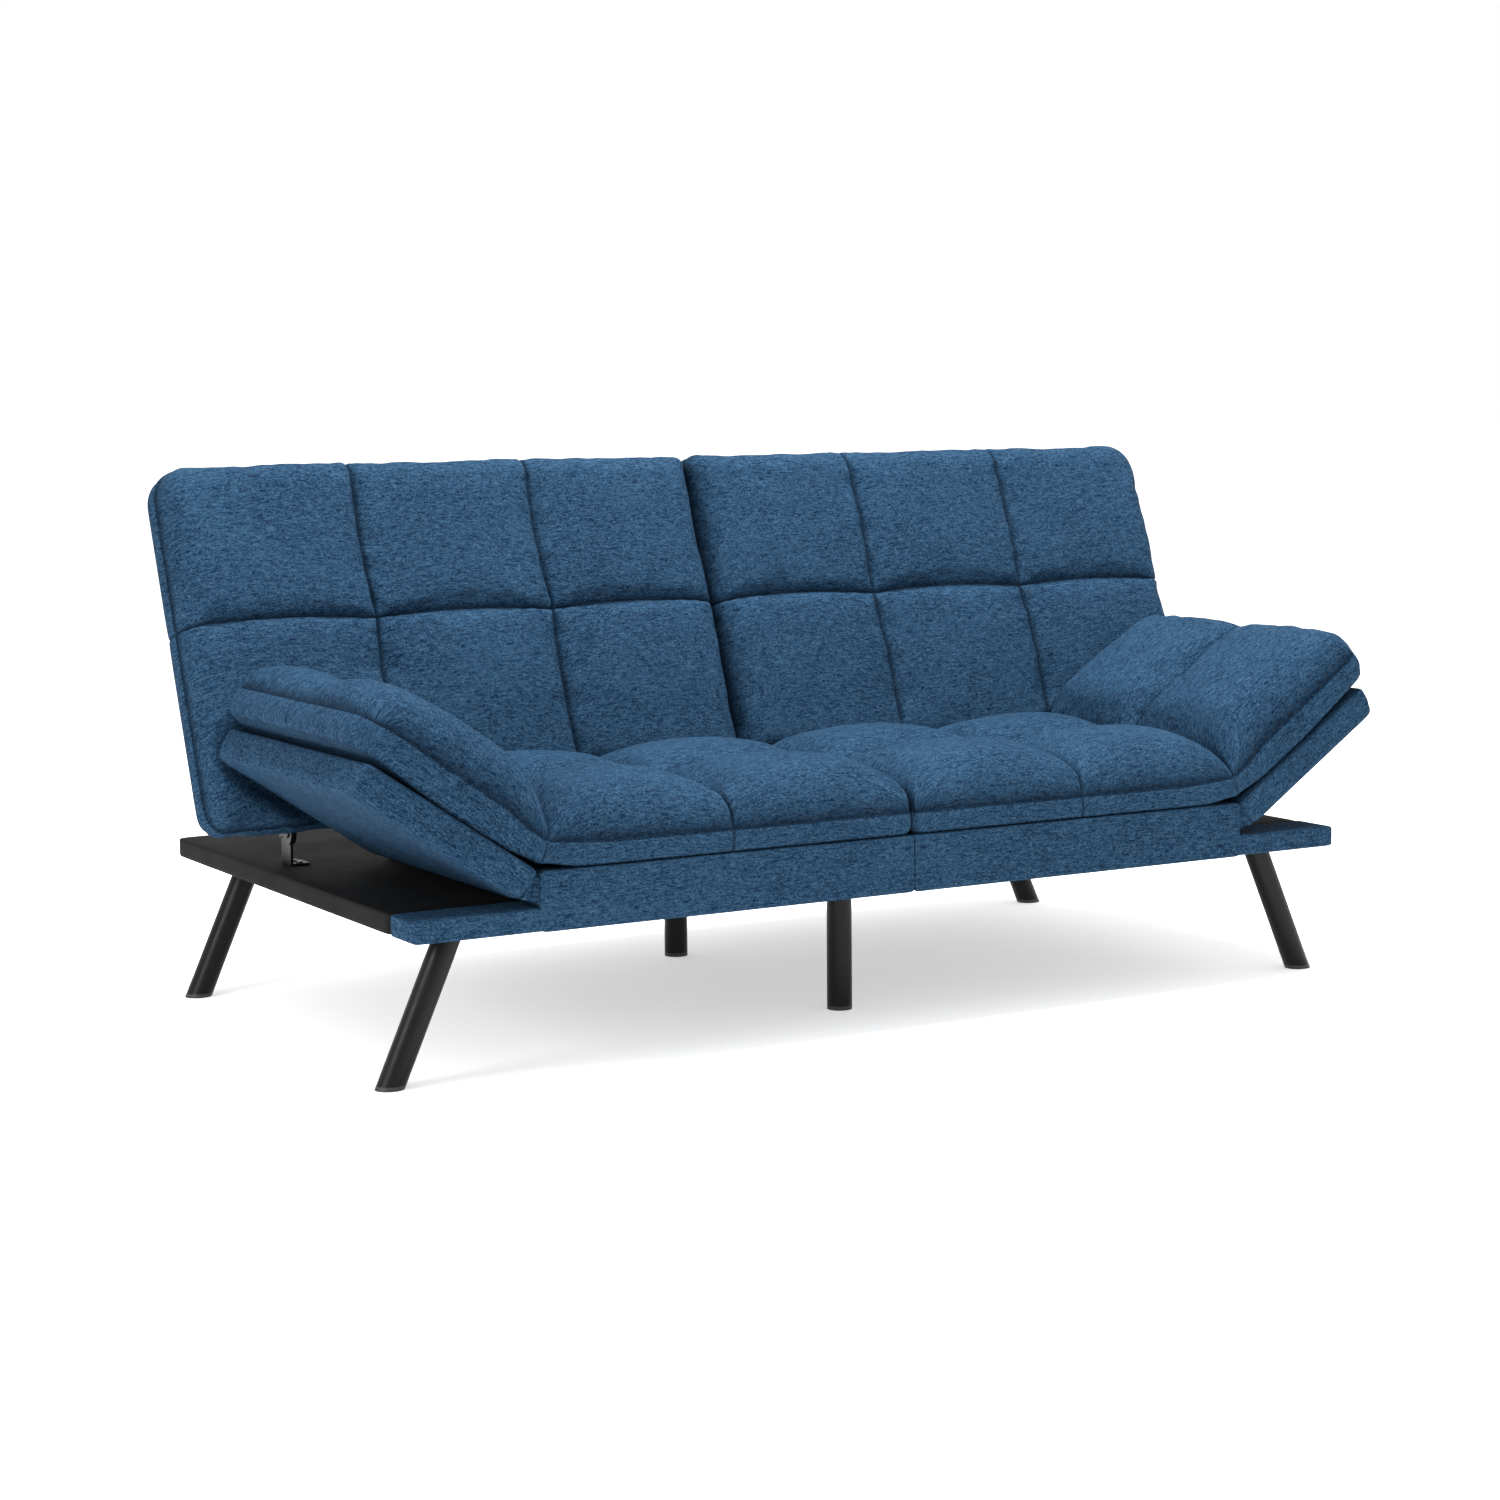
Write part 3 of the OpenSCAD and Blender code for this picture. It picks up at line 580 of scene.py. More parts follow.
class Pad:
    """A quilted pad in its board's frame: a tufted top panel, a band round its edge and an underside."""

    def __init__(self, name, place, u_edges, v_edges, radii, crown, seam_w, edge_w, bullnose, seed,
                 power=3.0, crease=None, shape=None, bow=(0, 0), cap=0.008, tuck=0.005,
                 steps=(CELL_STEPS, CELL_STEPS)):
        self.name, self.place, self.seed, self.shape, self.crease = name, place, seed, shape, crease
        self.u, self.u_seams, self.a = grid_lines(u_edges, steps[0])
        self.v, self.v_seams, self.b = grid_lines(v_edges, steps[1])
        self.low, self.high = (u_edges[0], v_edges[0]), (u_edges[-1], v_edges[-1])
        self.radii, self.crown, self.seam_w, self.bullnose = radii, crown, seam_w, bullnose
        self.power, self.bow, self.cap, self.tuck = power, bow, cap, tuck
        self.edge_w = edge_w if callable(edge_w) else lambda u: np.full_like(u, edge_w)
        self.build()

    def bowed_grid(self):
        """The grid with its inner seams bowed a little between their crossings."""
        gx, gy = np.meshgrid(self.u, self.v, indexing="ij")
        a, b = np.meshgrid(self.a, self.b, indexing="ij")
        span_u, span_v = self.high[0] - self.low[0], self.high[1] - self.low[1]
        inside_u = np.sin(np.pi * (gx - self.low[0]) / span_u)
        inside_v = np.sin(np.pi * (gy - self.low[1]) / span_v)
        return (gx + SEAM_BOW * inside_u * (1 - b**2) * self.bow[0],
                gy + SEAM_BOW * inside_v * (1 - a**2) * self.bow[1])

    def top_panel(self):
        """The tufted top: a sheet through the seams with a crown on each tuft."""
        gx, gy = self.bowed_grid()
        x, y = round_corners(gx, gy, self.low, self.high, self.radii)
        d = edge_distance(x, y, self.low, self.high, self.radii, self.crease)
        rise = quarter_round(d, self.bullnose)
        end_a = np.ones_like(x)
        if self.crease:
            gap = x - self.low[0] if self.crease == "low" else self.high[0] - x
            end_a = quarter_round(gap, CREASE_ROUND)
        edge = self.edge_w(x)
        sheet = np.stack([x, y, edge + (self.seam_w - edge) * rise * (0.35 + 0.65 * end_a)], -1)
        a, b = np.meshgrid(self.a, self.b, indexing="ij")
        fullness = pillow(a, self.power) * pillow(b, self.power)
        straight = grid_normals(sheet)
        away = straight * [0.5, 0.5, 1.0]
        away[..., 2] += 0.35
        away /= np.linalg.norm(away, axis=2, keepdims=True)
        top = sheet + away * ((self.crown - self.seam_w) * fullness)[..., None]
        inner = np.zeros_like(x, bool)
        inner[self.u_seams[1:-1], 1:-1] = True
        inner[1:-1, self.v_seams[1:-1]] = True
        top -= straight * (GROOVE * inner)[..., None]
        # the cloth swells out over the edge seam between the inner seams
        swell = np.exp(-((d - 0.010) / 0.008) ** 2) * np.maximum(pillow(a, 6.0), 0) ** 0.5
        swell = swell * np.maximum(1 - np.exp(-d / 0.002), 0) * end_a
        top += straight * (EDGE_SWELL * swell)[..., None]
        return top

    def tucked(self, x, y, amount):
        """The outline drawn in by an amount, except at a crease."""
        at_low = 0 if self.crease == "low" else amount
        at_high = 0 if self.crease == "high" else amount
        span_u, span_v = self.high[0] - self.low[0], self.high[1] - self.low[1]
        return (self.low[0] + at_low + (x - self.low[0]) * (span_u - at_low - at_high) / span_u,
                self.low[1] + amount + (y - self.low[1]) * (span_v - 2 * amount) / span_v)

    def build(self):
        """The pad's points, faces, weave map, mask of painted seam shade and pinned points."""
        nu, nv = len(self.u), len(self.v)
        top = self.top_panel()
        around = rim(nu, nv)
        loop = np.array([top[i, j] for i, j in around])
        ahead = np.roll(loop, -1, 0) - np.roll(loop, 1, 0)
        out = np.stack([ahead[:, 1], -ahead[:, 0]], -1)
        out /= np.maximum(np.linalg.norm(out, axis=1, keepdims=True), 1e-9)
        if self.crease:
            at = self.low[0] if self.crease == "low" else self.high[0]
            on_crease = np.abs(loop[:, 0] - at) < 0.002
            out[on_crease & (np.abs(out[:, 0]) > 0.2) & (np.abs(out[:, 1]) <= 0.9)] = 0
            ends = on_crease & ((loop[:, 1] < self.low[1] + 0.004) | (loop[:, 1] > self.high[1] - 0.004))
            out[ends] = np.stack([np.zeros(ends.sum()), np.sign(loop[ends, 1] - 0.1)], -1)
            out[on_crease & ~ends] = 0
        between = np.array([pillow(self.a[i], 8.0) if j in (0, nv - 1) else pillow(self.b[j], 8.0)
                            for i, j in around])
        on_seam = np.array([(j in (0, nv - 1) and i in self.u_seams[1:-1]) or
                            (i in (0, nu - 1) and j in self.v_seams[1:-1]) for i, j in around], float)
        self.band_seam = on_seam
        for (i, j), o in zip(around, out):
            top[i, j, :2] -= o * SEAM_PINCH
        rings = []
        for t in BAND_STEPS:
            bulge = BAND_BULGE * abs(math.sin(math.pi * t**1.2)) ** 0.6 * (0.45 + 0.55 * between)
            low_part = max(0.0, (t - 0.5) / 0.5)
            ring = loop.copy()
            ring[:, 0], ring[:, 1] = self.tucked(ring[:, 0], ring[:, 1],
                                                 self.tuck * (1 - math.sqrt(1 - low_part**2)))
            ring[:, :2] += out * np.reshape(bulge - SEAM_NOTCH * on_seam * min(1, 3 * (1 - t)), (-1, 1))
            ring[:, 2] = loop[:, 2] * (1 - t)
            rings.append(ring)
        gx, gy = self.bowed_grid()
        x, y = round_corners(gx, gy, self.low, self.high, self.radii)
        x, y = self.tucked(x, y, self.tuck)
        under = np.stack([x, y, np.zeros_like(x)], -1)
        for (i, j), point in zip(around, rings[-1]):
            under[i, j] = point
        # points: the top grid, the rings but the last, then the underside grid
        n_top = nu * nv
        points = [top.reshape(-1, 3)] + rings[:-1] + [under.reshape(-1, 3)]
        starts = [0] + [n_top + k * len(around) for k in range(BAND_RINGS)]
        base = starts[-1]
        faces, maps = [], []
        along, across = self.cloth_lengths(top)
        for i in range(nu - 1):
            for j in range(nv - 1):
                quad = ((i, j), (i + 1, j), (i + 1, j + 1), (i, j + 1))
                faces.append([p * nv + q for p, q in quad])
                maps.append([(along[q], across[q]) for q in quad])
        for i in range(nu - 1):
            for j in range(nv - 1):
                quad = ((i, j), (i, j + 1), (i + 1, j + 1), (i + 1, j))
                faces.append([base + p * nv + q for p, q in quad])
                maps.append([(self.u[q[0]], self.v[q[1]]) for q in quad])
        ids = [[i * nv + j for i, j in around]]
        ids += [[starts[k] + m for m in range(len(around))] for k in range(1, BAND_RINGS)]
        ids += [[base + i * nv + j for i, j in around]]
        edge_map = np.array([(along[q], across[q]) for q in around])
        down = [float(np.mean(loop[:, 2])) * 1.1 * t for t in (0.0,) + BAND_STEPS]
        for k in range(BAND_RINGS):
            for m in range(len(around)):
                n = (m + 1) % len(around)
                faces.append([ids[k][m], ids[k + 1][m], ids[k + 1][n], ids[k][n]])
                o = out[m]
                maps.append([tuple(edge_map[m] + o * down[k]), tuple(edge_map[m] + o * down[k + 1]),
                             tuple(edge_map[n] + o * down[k + 1]), tuple(edge_map[n] + o * down[k])])
        self.points = np.concatenate(points)
        self.faces, self.maps = faces, maps
        self.fold = self.fold_mask(n_top, len(self.points), ids)
        self.grid_size, self.n_top, self.around, self.ids = (nu, nv), n_top, around, ids
        pinned = np.zeros(len(self.points), bool)
        for i in self.u_seams:
            pinned[[i * nv + j for j in range(nv)]] = True
        for j in self.v_seams:
            pinned[[i * nv + j for i in range(nu)]] = True
        pinned[n_top:] = True
        self.pinned = pinned
        self.cell_u = np.clip(np.searchsorted(self.u_seams, np.arange(nu), side="right") - 1, 0,
                              len(self.u_seams) - 2)
        self.cell_v = np.clip(np.searchsorted(self.v_seams, np.arange(nv), side="right") - 1, 0,
                              len(self.v_seams) - 2)

    def fold_mask(self, n_top, count, ids):
        """Painted shade: 1 in the seams, fading to 0 within a few millimetres of them, 0.8 down the band below
        each inner seam and 0.5 along the pad's lower edge.
        """
        gap_u = (1 - np.abs(self.a)) * (self.high[0] - self.low[0]) / (len(self.u_seams) - 1) / 2
        gap_v = (1 - np.abs(self.b)) * (self.high[1] - self.low[1]) / (len(self.v_seams) - 1) / 2
        gap = np.minimum.outer(gap_u, gap_v)
        mask = np.zeros(count)
        mask[:n_top] = np.exp(-gap.ravel() / PAINTED_SHADE_REACH)
        for ring in ids[1:-1]:
            mask[ring] = 0.8 * self.band_seam
        # painted shade along the line where the pad meets its board
        mask[ids[-1]] = 0.5
        return mask

    def cloth_lengths(self, top):
        """Lengths along the cloth from the pad's middle, for the weave."""
        du = np.linalg.norm(np.diff(top, axis=0), axis=2)
        dv = np.linalg.norm(np.diff(top, axis=1), axis=2)
        along = np.concatenate([np.zeros((1, top.shape[1])), np.cumsum(du, 0)])
        across = np.concatenate([np.zeros((top.shape[0], 1)), np.cumsum(dv, 1)], 1)
        mu, mv = top.shape[0] // 2, top.shape[1] // 2
        along += self.u[mu] - along[mu:mu + 1]
        across += self.v[mv] - across[:, mv:mv + 1]
        return along, across

    def add_puckers(self, points):
        """Small gathers that run out from the seams, and a soft unevenness of the filling."""
        nu, nv = self.grid_size
        a, b = np.meshgrid(self.a, self.b, indexing="ij")
        size_u = (self.high[0] - self.low[0]) / (len(self.u_seams) - 1) / 2
        size_v = (self.high[1] - self.low[1]) / (len(self.v_seams) - 1) / 2
        from_u = (1 - np.abs(a)) * size_u
        from_v = (1 - np.abs(b)) * size_v
        grid = points[:self.n_top].reshape(nu, nv, 3)
        flat = grid.reshape(-1, 3)
        fine = flat.copy()
        beside_u = (from_u < from_v).ravel()
        fine[:, 0] *= np.where(beside_u, 0.25, 1.0)
        fine[:, 1] *= np.where(beside_u, 1.0, 0.25)
        fade = np.exp(-np.minimum(from_u, from_v).ravel() / GATHER_REACH)
        gathers = wave(fine, GATHER_SIZE, self.seed) * fade * GATHER_DEPTH
        soft = (wave(flat, SOFT_SIZE, self.seed + 9) * SOFT_DEPTH
                + wave(flat, LUMP_SIZE, self.seed + 5) * LUMP_DEPTH)
        lift = np.where(self.pinned[:self.n_top], 0, gathers + soft)
        flat += grid_normals(grid).reshape(-1, 3) * lift[:, None]
        points[:self.n_top] = flat

    def finish(self, material):
        """The pad as a piece: puckered, blown up and leaned into its place."""
        points = self.points.copy()
        self.add_puckers(points)
        points = inflate(self, points)
        if self.shape:
            points = self.shape(points)
        flip = self.place.flipped()
        faces = [f[::-1] for f in self.faces] if flip else self.faces
        maps = [m[::-1] for m in self.maps] if flip else self.maps
        piece = new_piece(self.name, self.place.world(points), faces, material)
        add_map(piece, maps)
        # the mask of painted shade goes on the mesh for the cloth's shader
        fold = piece.data.attributes.new("fold", "FLOAT", "POINT")
        fold.data.foreach_set("value", self.fold.astype(np.float32))
        self.final = points
        return piece


PRESSURE_FRAMES = 20  # steps of the cloth simulation
TUFT_GAP = 0.0004  # space kept between a tuft and its neighbour's side of the seam


def inflate(pad, points):
    """Cloth with air pressure: seams and underside are pinned, and the tufts swell between them."""
    piece = new_piece(pad.name + "_sim", points, pad.faces, BLUE_CLOTH)
    group = piece.vertex_groups.new(name="pin")
    group.add([int(i) for i in np.flatnonzero(pad.pinned)], 1.0, "REPLACE")
    cloth = piece.modifiers.new("cloth", "CLOTH")
    settings = cloth.settings
    settings.quality = 6
    settings.mass = 0.05
    settings.tension_stiffness = settings.compression_stiffness = 18
    settings.shear_stiffness = 6
    settings.bending_stiffness = 0.6
    settings.tension_damping = settings.compression_damping = 8
    settings.use_pressure = True
    settings.uniform_pressure_force = 9
    settings.shrink_min = -0.012
    settings.effector_weights.gravity = 0
    settings.vertex_group_mass = "pin"
    settings.pin_stiffness = 1
    cloth.point_cache.frame_start = 1
    cloth.point_cache.frame_end = PRESSURE_FRAMES
    scene = bpy.context.scene
    for step in range(1, PRESSURE_FRAMES + 1):
        scene.frame_set(step)
    plain_mesh(piece)
    swollen = np.empty(len(points) * 3)
    piece.data.vertices.foreach_get("co", swollen)
    swollen = swollen.reshape(-1, 3)
    bpy.data.objects.remove(piece)
    scene.frame_set(1)
    move = swollen - points
    length = np.linalg.norm(move, axis=1, keepdims=True)
    move *= np.minimum(1, pad.cap / np.maximum(length, 1e-9))
    return keep_in_tufts(pad, points + move)


def keep_in_tufts(pad, result):
    """Neighbouring tufts meet at their seam and don't pass it."""
    nu, nv = pad.grid_size
    grid = result[:pad.n_top].reshape(nu, nv, 3)
    rest = pad.points[:pad.n_top].reshape(nu, nv, 3)
    rows = ((0, pad.u, pad.u_seams, pad.cell_u), (1, pad.v, pad.v_seams, pad.cell_v))
    for axis, lines, seams, cell in rows:
        walls = np.moveaxis(rest[..., axis], axis, 0)
        moved = np.moveaxis(grid[..., axis], axis, 0)
        for k in range(len(lines)):
            if k in seams:
                continue
            c = cell[k]
            if c > 0:
                moved[k] = np.maximum(moved[k], walls[seams[c]] + TUFT_GAP)
            if c < len(seams) - 2:
                moved[k] = np.minimum(moved[k], walls[seams[c + 1]] - TUFT_GAP)
    result[:pad.n_top] = grid.reshape(-1, 3)
    return result


# ---------------------------------------------------------------- the pads of this sofa bed

SEAT_PAD_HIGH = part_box("seat_pad_right")[1]
SEAT_CROWN = SEAT_PAD_HIGH[2] - HINGE_Z + 0.002
SEAT_SEAM, ARM_SEAM, BACK_SEAM = 0.076, 0.076, 0.075  # heights of the seams between tufts
SEAT_BAND, ARM_BAND, BACK_BAND = 0.032, 0.040, 0.036  # heights of the band under the edge seam
CREASE = math.tan(ARM_TILT / 2)
ARM_LIFT = 0.010  # the arm pad stands off its board
SAG = 0.032  # how far the back pads hang below their boards beside the seat
BACK_OVERHANG = 0.008
BACK_TOP_PROUD = 0.004  # the top tufts swell a little past the pad's edge
ARM_BACK_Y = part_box("arm_cover_right")[1][1]
ARM_CROWN, BACK_CROWN = 0.106, 0.086  # heights of the middles of the tufts
# Radii of each pad's corners: front inner, front outer, rear outer, rear inner
SEAT_CORNERS = (0.012, 0.003, 0.003, 0.012)
ARM_CORNERS = {"left": (0.003, 0.060, 0.045, 0.003), "right": (0.003, 0.035, 0.045, 0.003)}
BACK_CORNERS = (0.016, 0.030, 0.052, 0.020)
SEAT_CROSS_SEAM, ARM_CROSS_SEAM, BACK_CROSS_SEAM = 0.245, 0.255, 0.300  # places of the seams along the pads
BACK_SEAMS = (0.293, 0.586)  # places of the back pad's seams from the middle
BAND_JOIN = 0.15  # the bands of seat and arm grow equal over this length beside the crease
SEAT_JOIN_FROM = 0.45
ARM_STEPS = 76  # grid steps along the arm pad's one row of tufts


def seat_shape(points):
    """Leans the seat pad's outer end into the crease at the arm and lifts its lower edge there."""
    end = SEAT_HIGH[0]
    rise = 0.009 * smooth_step((points[:, 0] - (end - 0.07)) / 0.07)
    points[:, 2] += rise * np.clip(1 - points[:, 2] / 0.05, 0, 1)
    near = smooth_step((points[:, 0] - (end - 0.10)) / 0.10)
    points[:, 0] -= np.maximum(points[:, 2], 0) * CREASE * near
    return points


def arm_shape(points):
    """Leans the arm pad's inner end into the crease, and lifts its outer part off the board."""
    under = (0.0005 + 0.0075 * (1 - smooth_step(points[:, 0] / 0.07))
             + ARM_LIFT * smooth_step((points[:, 0] - 0.14) / 0.19))
    over = 0.012 * smooth_step(points[:, 0] / 0.10)
    points[:, 2] += under + (over - under) * np.clip(points[:, 2] / 0.06, 0, 1)
    near = smooth_step((0.10 - points[:, 0]) / 0.10)
    points[:, 0] += np.maximum(points[:, 2], 0) * CREASE * near
    front = smooth_step((0.07 - points[:, 1]) / 0.06) * smooth_step((0.11 - points[:, 2]) / 0.05)
    front *= smooth_step((points[:, 2] - 0.004) / 0.02)
    bend = np.exp(-((points[:, 0] - 0.165) / 0.040) ** 2) + 0.5 * smooth_step((points[:, 0] - 0.27) / 0.04)
    slant = np.stack([points[:, 0] + 0.35 * points[:, 2], points[:, 1] * 0.3, points[:, 2] * 0.16], -1)
    points[:, 1] -= wave(slant, 0.016, 31) * front * bend * 0.0085
    return points


def back_shape(side):
    """Hangs the back pad's lower edge beside the seat, with gathers, and dents it where the arm lies."""
    seed = 21 if side == "left" else 22
    back, arm = back_place(side), arm_place(side)

    def shape(points):
        beside = smooth_step((points[:, 0] - 0.57) / 0.09)
        low = smooth_step((0.17 - points[:, 1]) / 0.15)
        gathers = wave(points * np.array([1, 0.45, 1]), 0.028, seed) + 0.6 * wave(points, 0.013, seed + 1)
        points[:, 1] -= SAG * beside * low
        points[:, 1] += 0.004 * beside * low * gathers
        points[:, 2] += 0.0045 * beside * low * gathers * (points[:, 2] > 0.012)
        if side == "left":
            pull = np.exp(-((points[:, 0] - 0.155) / 0.065) ** 2 - ((points[:, 1] - 0.225) / 0.050) ** 2)
            slant = np.stack([points[:, 0] * 0.25 + points[:, 1] * 0.30, points[:, 0] - points[:, 1],
                              0 * points[:, 2]], -1)
            points[:, 2] += wave(slant, 0.014, 41) * pull * 0.0030 * (points[:, 2] > 0.05)
        world = back.world(points)
        on_arm = arm.local(world)
        inside = (smooth_step((on_arm[:, 0] + 0.03) / 0.03) * smooth_step((0.375 - on_arm[:, 0]) / 0.03)
                  * smooth_step((on_arm[:, 2] + 0.075) / 0.03) * smooth_step((0.10 - on_arm[:, 2]) / 0.04))
        world[:, 1] += inside * np.maximum(0, ARM_BACK_Y + 0.001 - world[:, 1])
        return back.local(world)

    return shape


def seat_band(u):
    """Height of the seat pad's band along it."""
    return SEAT_BAND + (ARM_BAND - SEAT_BAND) * 0.5 * smooth_step((u - SEAT_JOIN_FROM) / BAND_JOIN)


def arm_band(u):
    """Height of the arm pad's band along it."""
    return ARM_BAND + (SEAT_BAND - ARM_BAND) * 0.5 * smooth_step((BAND_JOIN - u) / BAND_JOIN)


def make_pads():
    """The six pads. Their places and outlines come from the CAD pads they replace."""
    pads = {}
    for side in SIDES:
        seed = 1 if side == "left" else 2
        place = seat_place(side)
        low, high = extent(place, f"seat_pad_{side}")
        hinge = SEAT_HIGH[0]
        pads[f"seat_{side}"] = Pad(
            f"seat_quilt_{side}", place, [low[0] + SEAM_PINCH, hinge / 2, hinge],
            [low[1] + SEAM_PINCH, low[1] + SEAT_CROSS_SEAM, high[1]],
            SEAT_CORNERS, SEAT_CROWN, SEAT_SEAM, seat_band, bullnose=0.045, seed=seed, power=2.2,
            crease="high", shape=seat_shape, bow=(0.5, 0), cap=0.009, tuck=0.006)
        place = arm_place(side)
        low, high = extent(place, f"arm_pad_{side}")
        pads[f"arm_{side}"] = Pad(
            f"arm_quilt_{side}", place, [0.0, high[0] - SEAM_PINCH],
            [low[1] + SEAM_PINCH, ARM_CROSS_SEAM, high[1]],
            ARM_CORNERS[side], ARM_CROWN, ARM_SEAM, arm_band, bullnose=0.040, seed=seed + 2, power=2.4,
            crease="low", shape=arm_shape, bow=(0, 0.4), cap=0.007, tuck=0.012,
            steps=(ARM_STEPS, CELL_STEPS))
        place = back_place(side)
        low, high = extent(place, f"back_pad_{side}")
        pads[f"back_{side}"] = Pad(
            f"back_quilt_{side}", place, [low[0] + SEAM_PINCH, *BACK_SEAMS, high[0] + BACK_OVERHANG],
            [low[1], BACK_CROSS_SEAM, high[1] + BACK_TOP_PROUD],
            BACK_CORNERS, BACK_CROWN, BACK_SEAM, BACK_BAND, bullnose=0.036, seed=seed + 4,
            shape=back_shape(side), bow=(0.7, 0.9), cap=0.003)
    return pads


PADS = make_pads()
BODY_OF_PAD = {"seat": "base", "back": "back_{}"}  # the arm pads are not attached to a body


def blend_at_crease(piece):
    """Bakes the piece's transform into its mesh; the arm's quilt is left on no body."""
    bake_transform(piece)


def seat_all_pads():
    """Makes each pad's quilt, which takes the place of the CAD pad."""
    for key, pad in PADS.items():
        kind, side = key.split("_")
        quilt = pad.finish(BLUE_CLOTH)
        refine(quilt)
        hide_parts(f"{kind}_pad_{side}")
        if kind == "arm":
            blend_at_crease(quilt)
        else:
            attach(quilt, BODY_OF_PAD[kind].format(side))


seat_all_pads()

# ---------------------------------------------------------------- repeated small parts


def repeat_tree(name, size, spacing, material):
    """Geometry Nodes: small rounded bars set out along a line at an even spacing."""
    tree = bpy.data.node_groups.new(name, "GeometryNodeTree")
    tree.interface.new_socket("Line", in_out="INPUT", socket_type="NodeSocketGeometry")
    tree.interface.new_socket("Result", in_out="OUTPUT", socket_type="NodeSocketGeometry")
    t = Tree(tree)
    line = t.add("NodeGroupInput").outputs[0]
    curve = t.add("GeometryNodeMeshToCurve")
    t.join(line, curve.inputs["Mesh"])
    even = t.add("GeometryNodeResampleCurve", mode="LENGTH")
    t.join(curve.outputs[0], even.inputs["Curve"])
    even.inputs["Length"].default_value = spacing
    bar = t.add("GeometryNodeMeshUVSphere")
    bar.inputs["Segments"].default_value, bar.inputs["Rings"].default_value = 6, 4
    bar.inputs["Radius"].default_value = 0.5
    shaped = t.add("GeometryNodeTransform")
    t.join(bar.outputs["Mesh"], shaped.inputs["Geometry"])
    shaped.inputs["Scale"].default_value = (size[1], size[2], size[0])
    tangent = t.add("GeometryNodeInputTangent")
    turn = t.add("FunctionNodeAlignRotationToVector", axis="Z")
    t.join(tangent.outputs[0], turn.inputs["Vector"])
    placed = t.add("GeometryNodeInstanceOnPoints")
    t.join(even.outputs[0], placed.inputs["Points"])
    t.join(shaped.outputs[0], placed.inputs["Instance"])
    t.join(turn.outputs[0], placed.inputs["Rotation"])
    real = t.add("GeometryNodeRealizeInstances")
    t.join(placed.outputs[0], real.inputs[0])
    finish = t.add("GeometryNodeSetMaterial")
    t.join(real.outputs[0], finish.inputs["Geometry"])
    finish.inputs["Material"].default_value = material
    t.join(finish.outputs[0], t.add("NodeGroupOutput").inputs[0])
    return tree


# Length, width and height of one, then the spacing
STITCHES = repeat_tree("stitch row", (0.0048, 0.0011, 0.0011), 0.0066, BLUE_THREAD)
STAPLES = repeat_tree("staple row", (0.010, 0.0012, 0.0008), 0.045, ZINC_STEEL)
STITCH_DROP = 0.12  # how far down the first ring of the band the stitches run, as a part of it
STITCH_PROUD = 0.0012  # how far they stand out


def repeated(name, lines, tree, material):
    """Sets small parts out along lines of points; a closed line repeats its first point."""
    points, edges = [], []
    for line in lines:
        base = len(points)
        points += [tuple(p) for p in line]
        edges += [(base + i, base + i + 1) for i in range(len(line) - 1)]
    mesh = bpy.data.meshes.new(name)
    mesh.from_pydata(points, edges, [])
    mesh.materials.append(material)
    piece = bpy.data.objects.new(name, mesh)
    bpy.context.scene.collection.objects.link(piece)
    piece.modifiers.new("rows", "NODES").node_group = tree
    plain_mesh(piece)
    piece.data.polygons.foreach_set("use_smooth", [True] * len(piece.data.polygons))
    return piece


def stitch_pads():
    """A row of stitches in the edge seam of each pad."""
    for key, pad in PADS.items():
        kind, side = key.split("_")
        ring = pad.final[pad.ids[0]]
        lower = pad.final[pad.ids[1]]
        middle = ring.mean(0)
        away = ring - middle
        away[:, 2] = 0
        away /= np.linalg.norm(away, axis=1, keepdims=True)
        line = ring + (lower - ring) * STITCH_DROP + away * STITCH_PROUD
        keep = np.ones(len(line), bool)
        if pad.crease:
            at = pad.low[0] if pad.crease == "low" else pad.high[0]
            start = pad.points[pad.ids[0]][:, 0]
            keep = np.abs(start - at) > 0.004
        runs, run = [], []
        order = list(range(len(line))) + [0]
        if not keep.all():
            first = int(np.flatnonzero(~keep)[0])
            order = [(first + i) % len(line) for i in range(len(line) + 1)]
        for m in order:
            if keep[m]:
                run.append(line[m])
            elif run:
                runs.append(run)
                run = []
        if run:
            runs.append(run)
        rows = repeated(f"{kind}_stitches_{side}", [pad.place.world(r) for r in runs if len(r) > 2],
                        STITCHES, BLUE_THREAD)
        if kind == "arm":
            blend_at_crease(rows)
        else:
            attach(rows, BODY_OF_PAD[kind].format(side))


stitch_pads()

# ---------------------------------------------------------------- upholstered boards


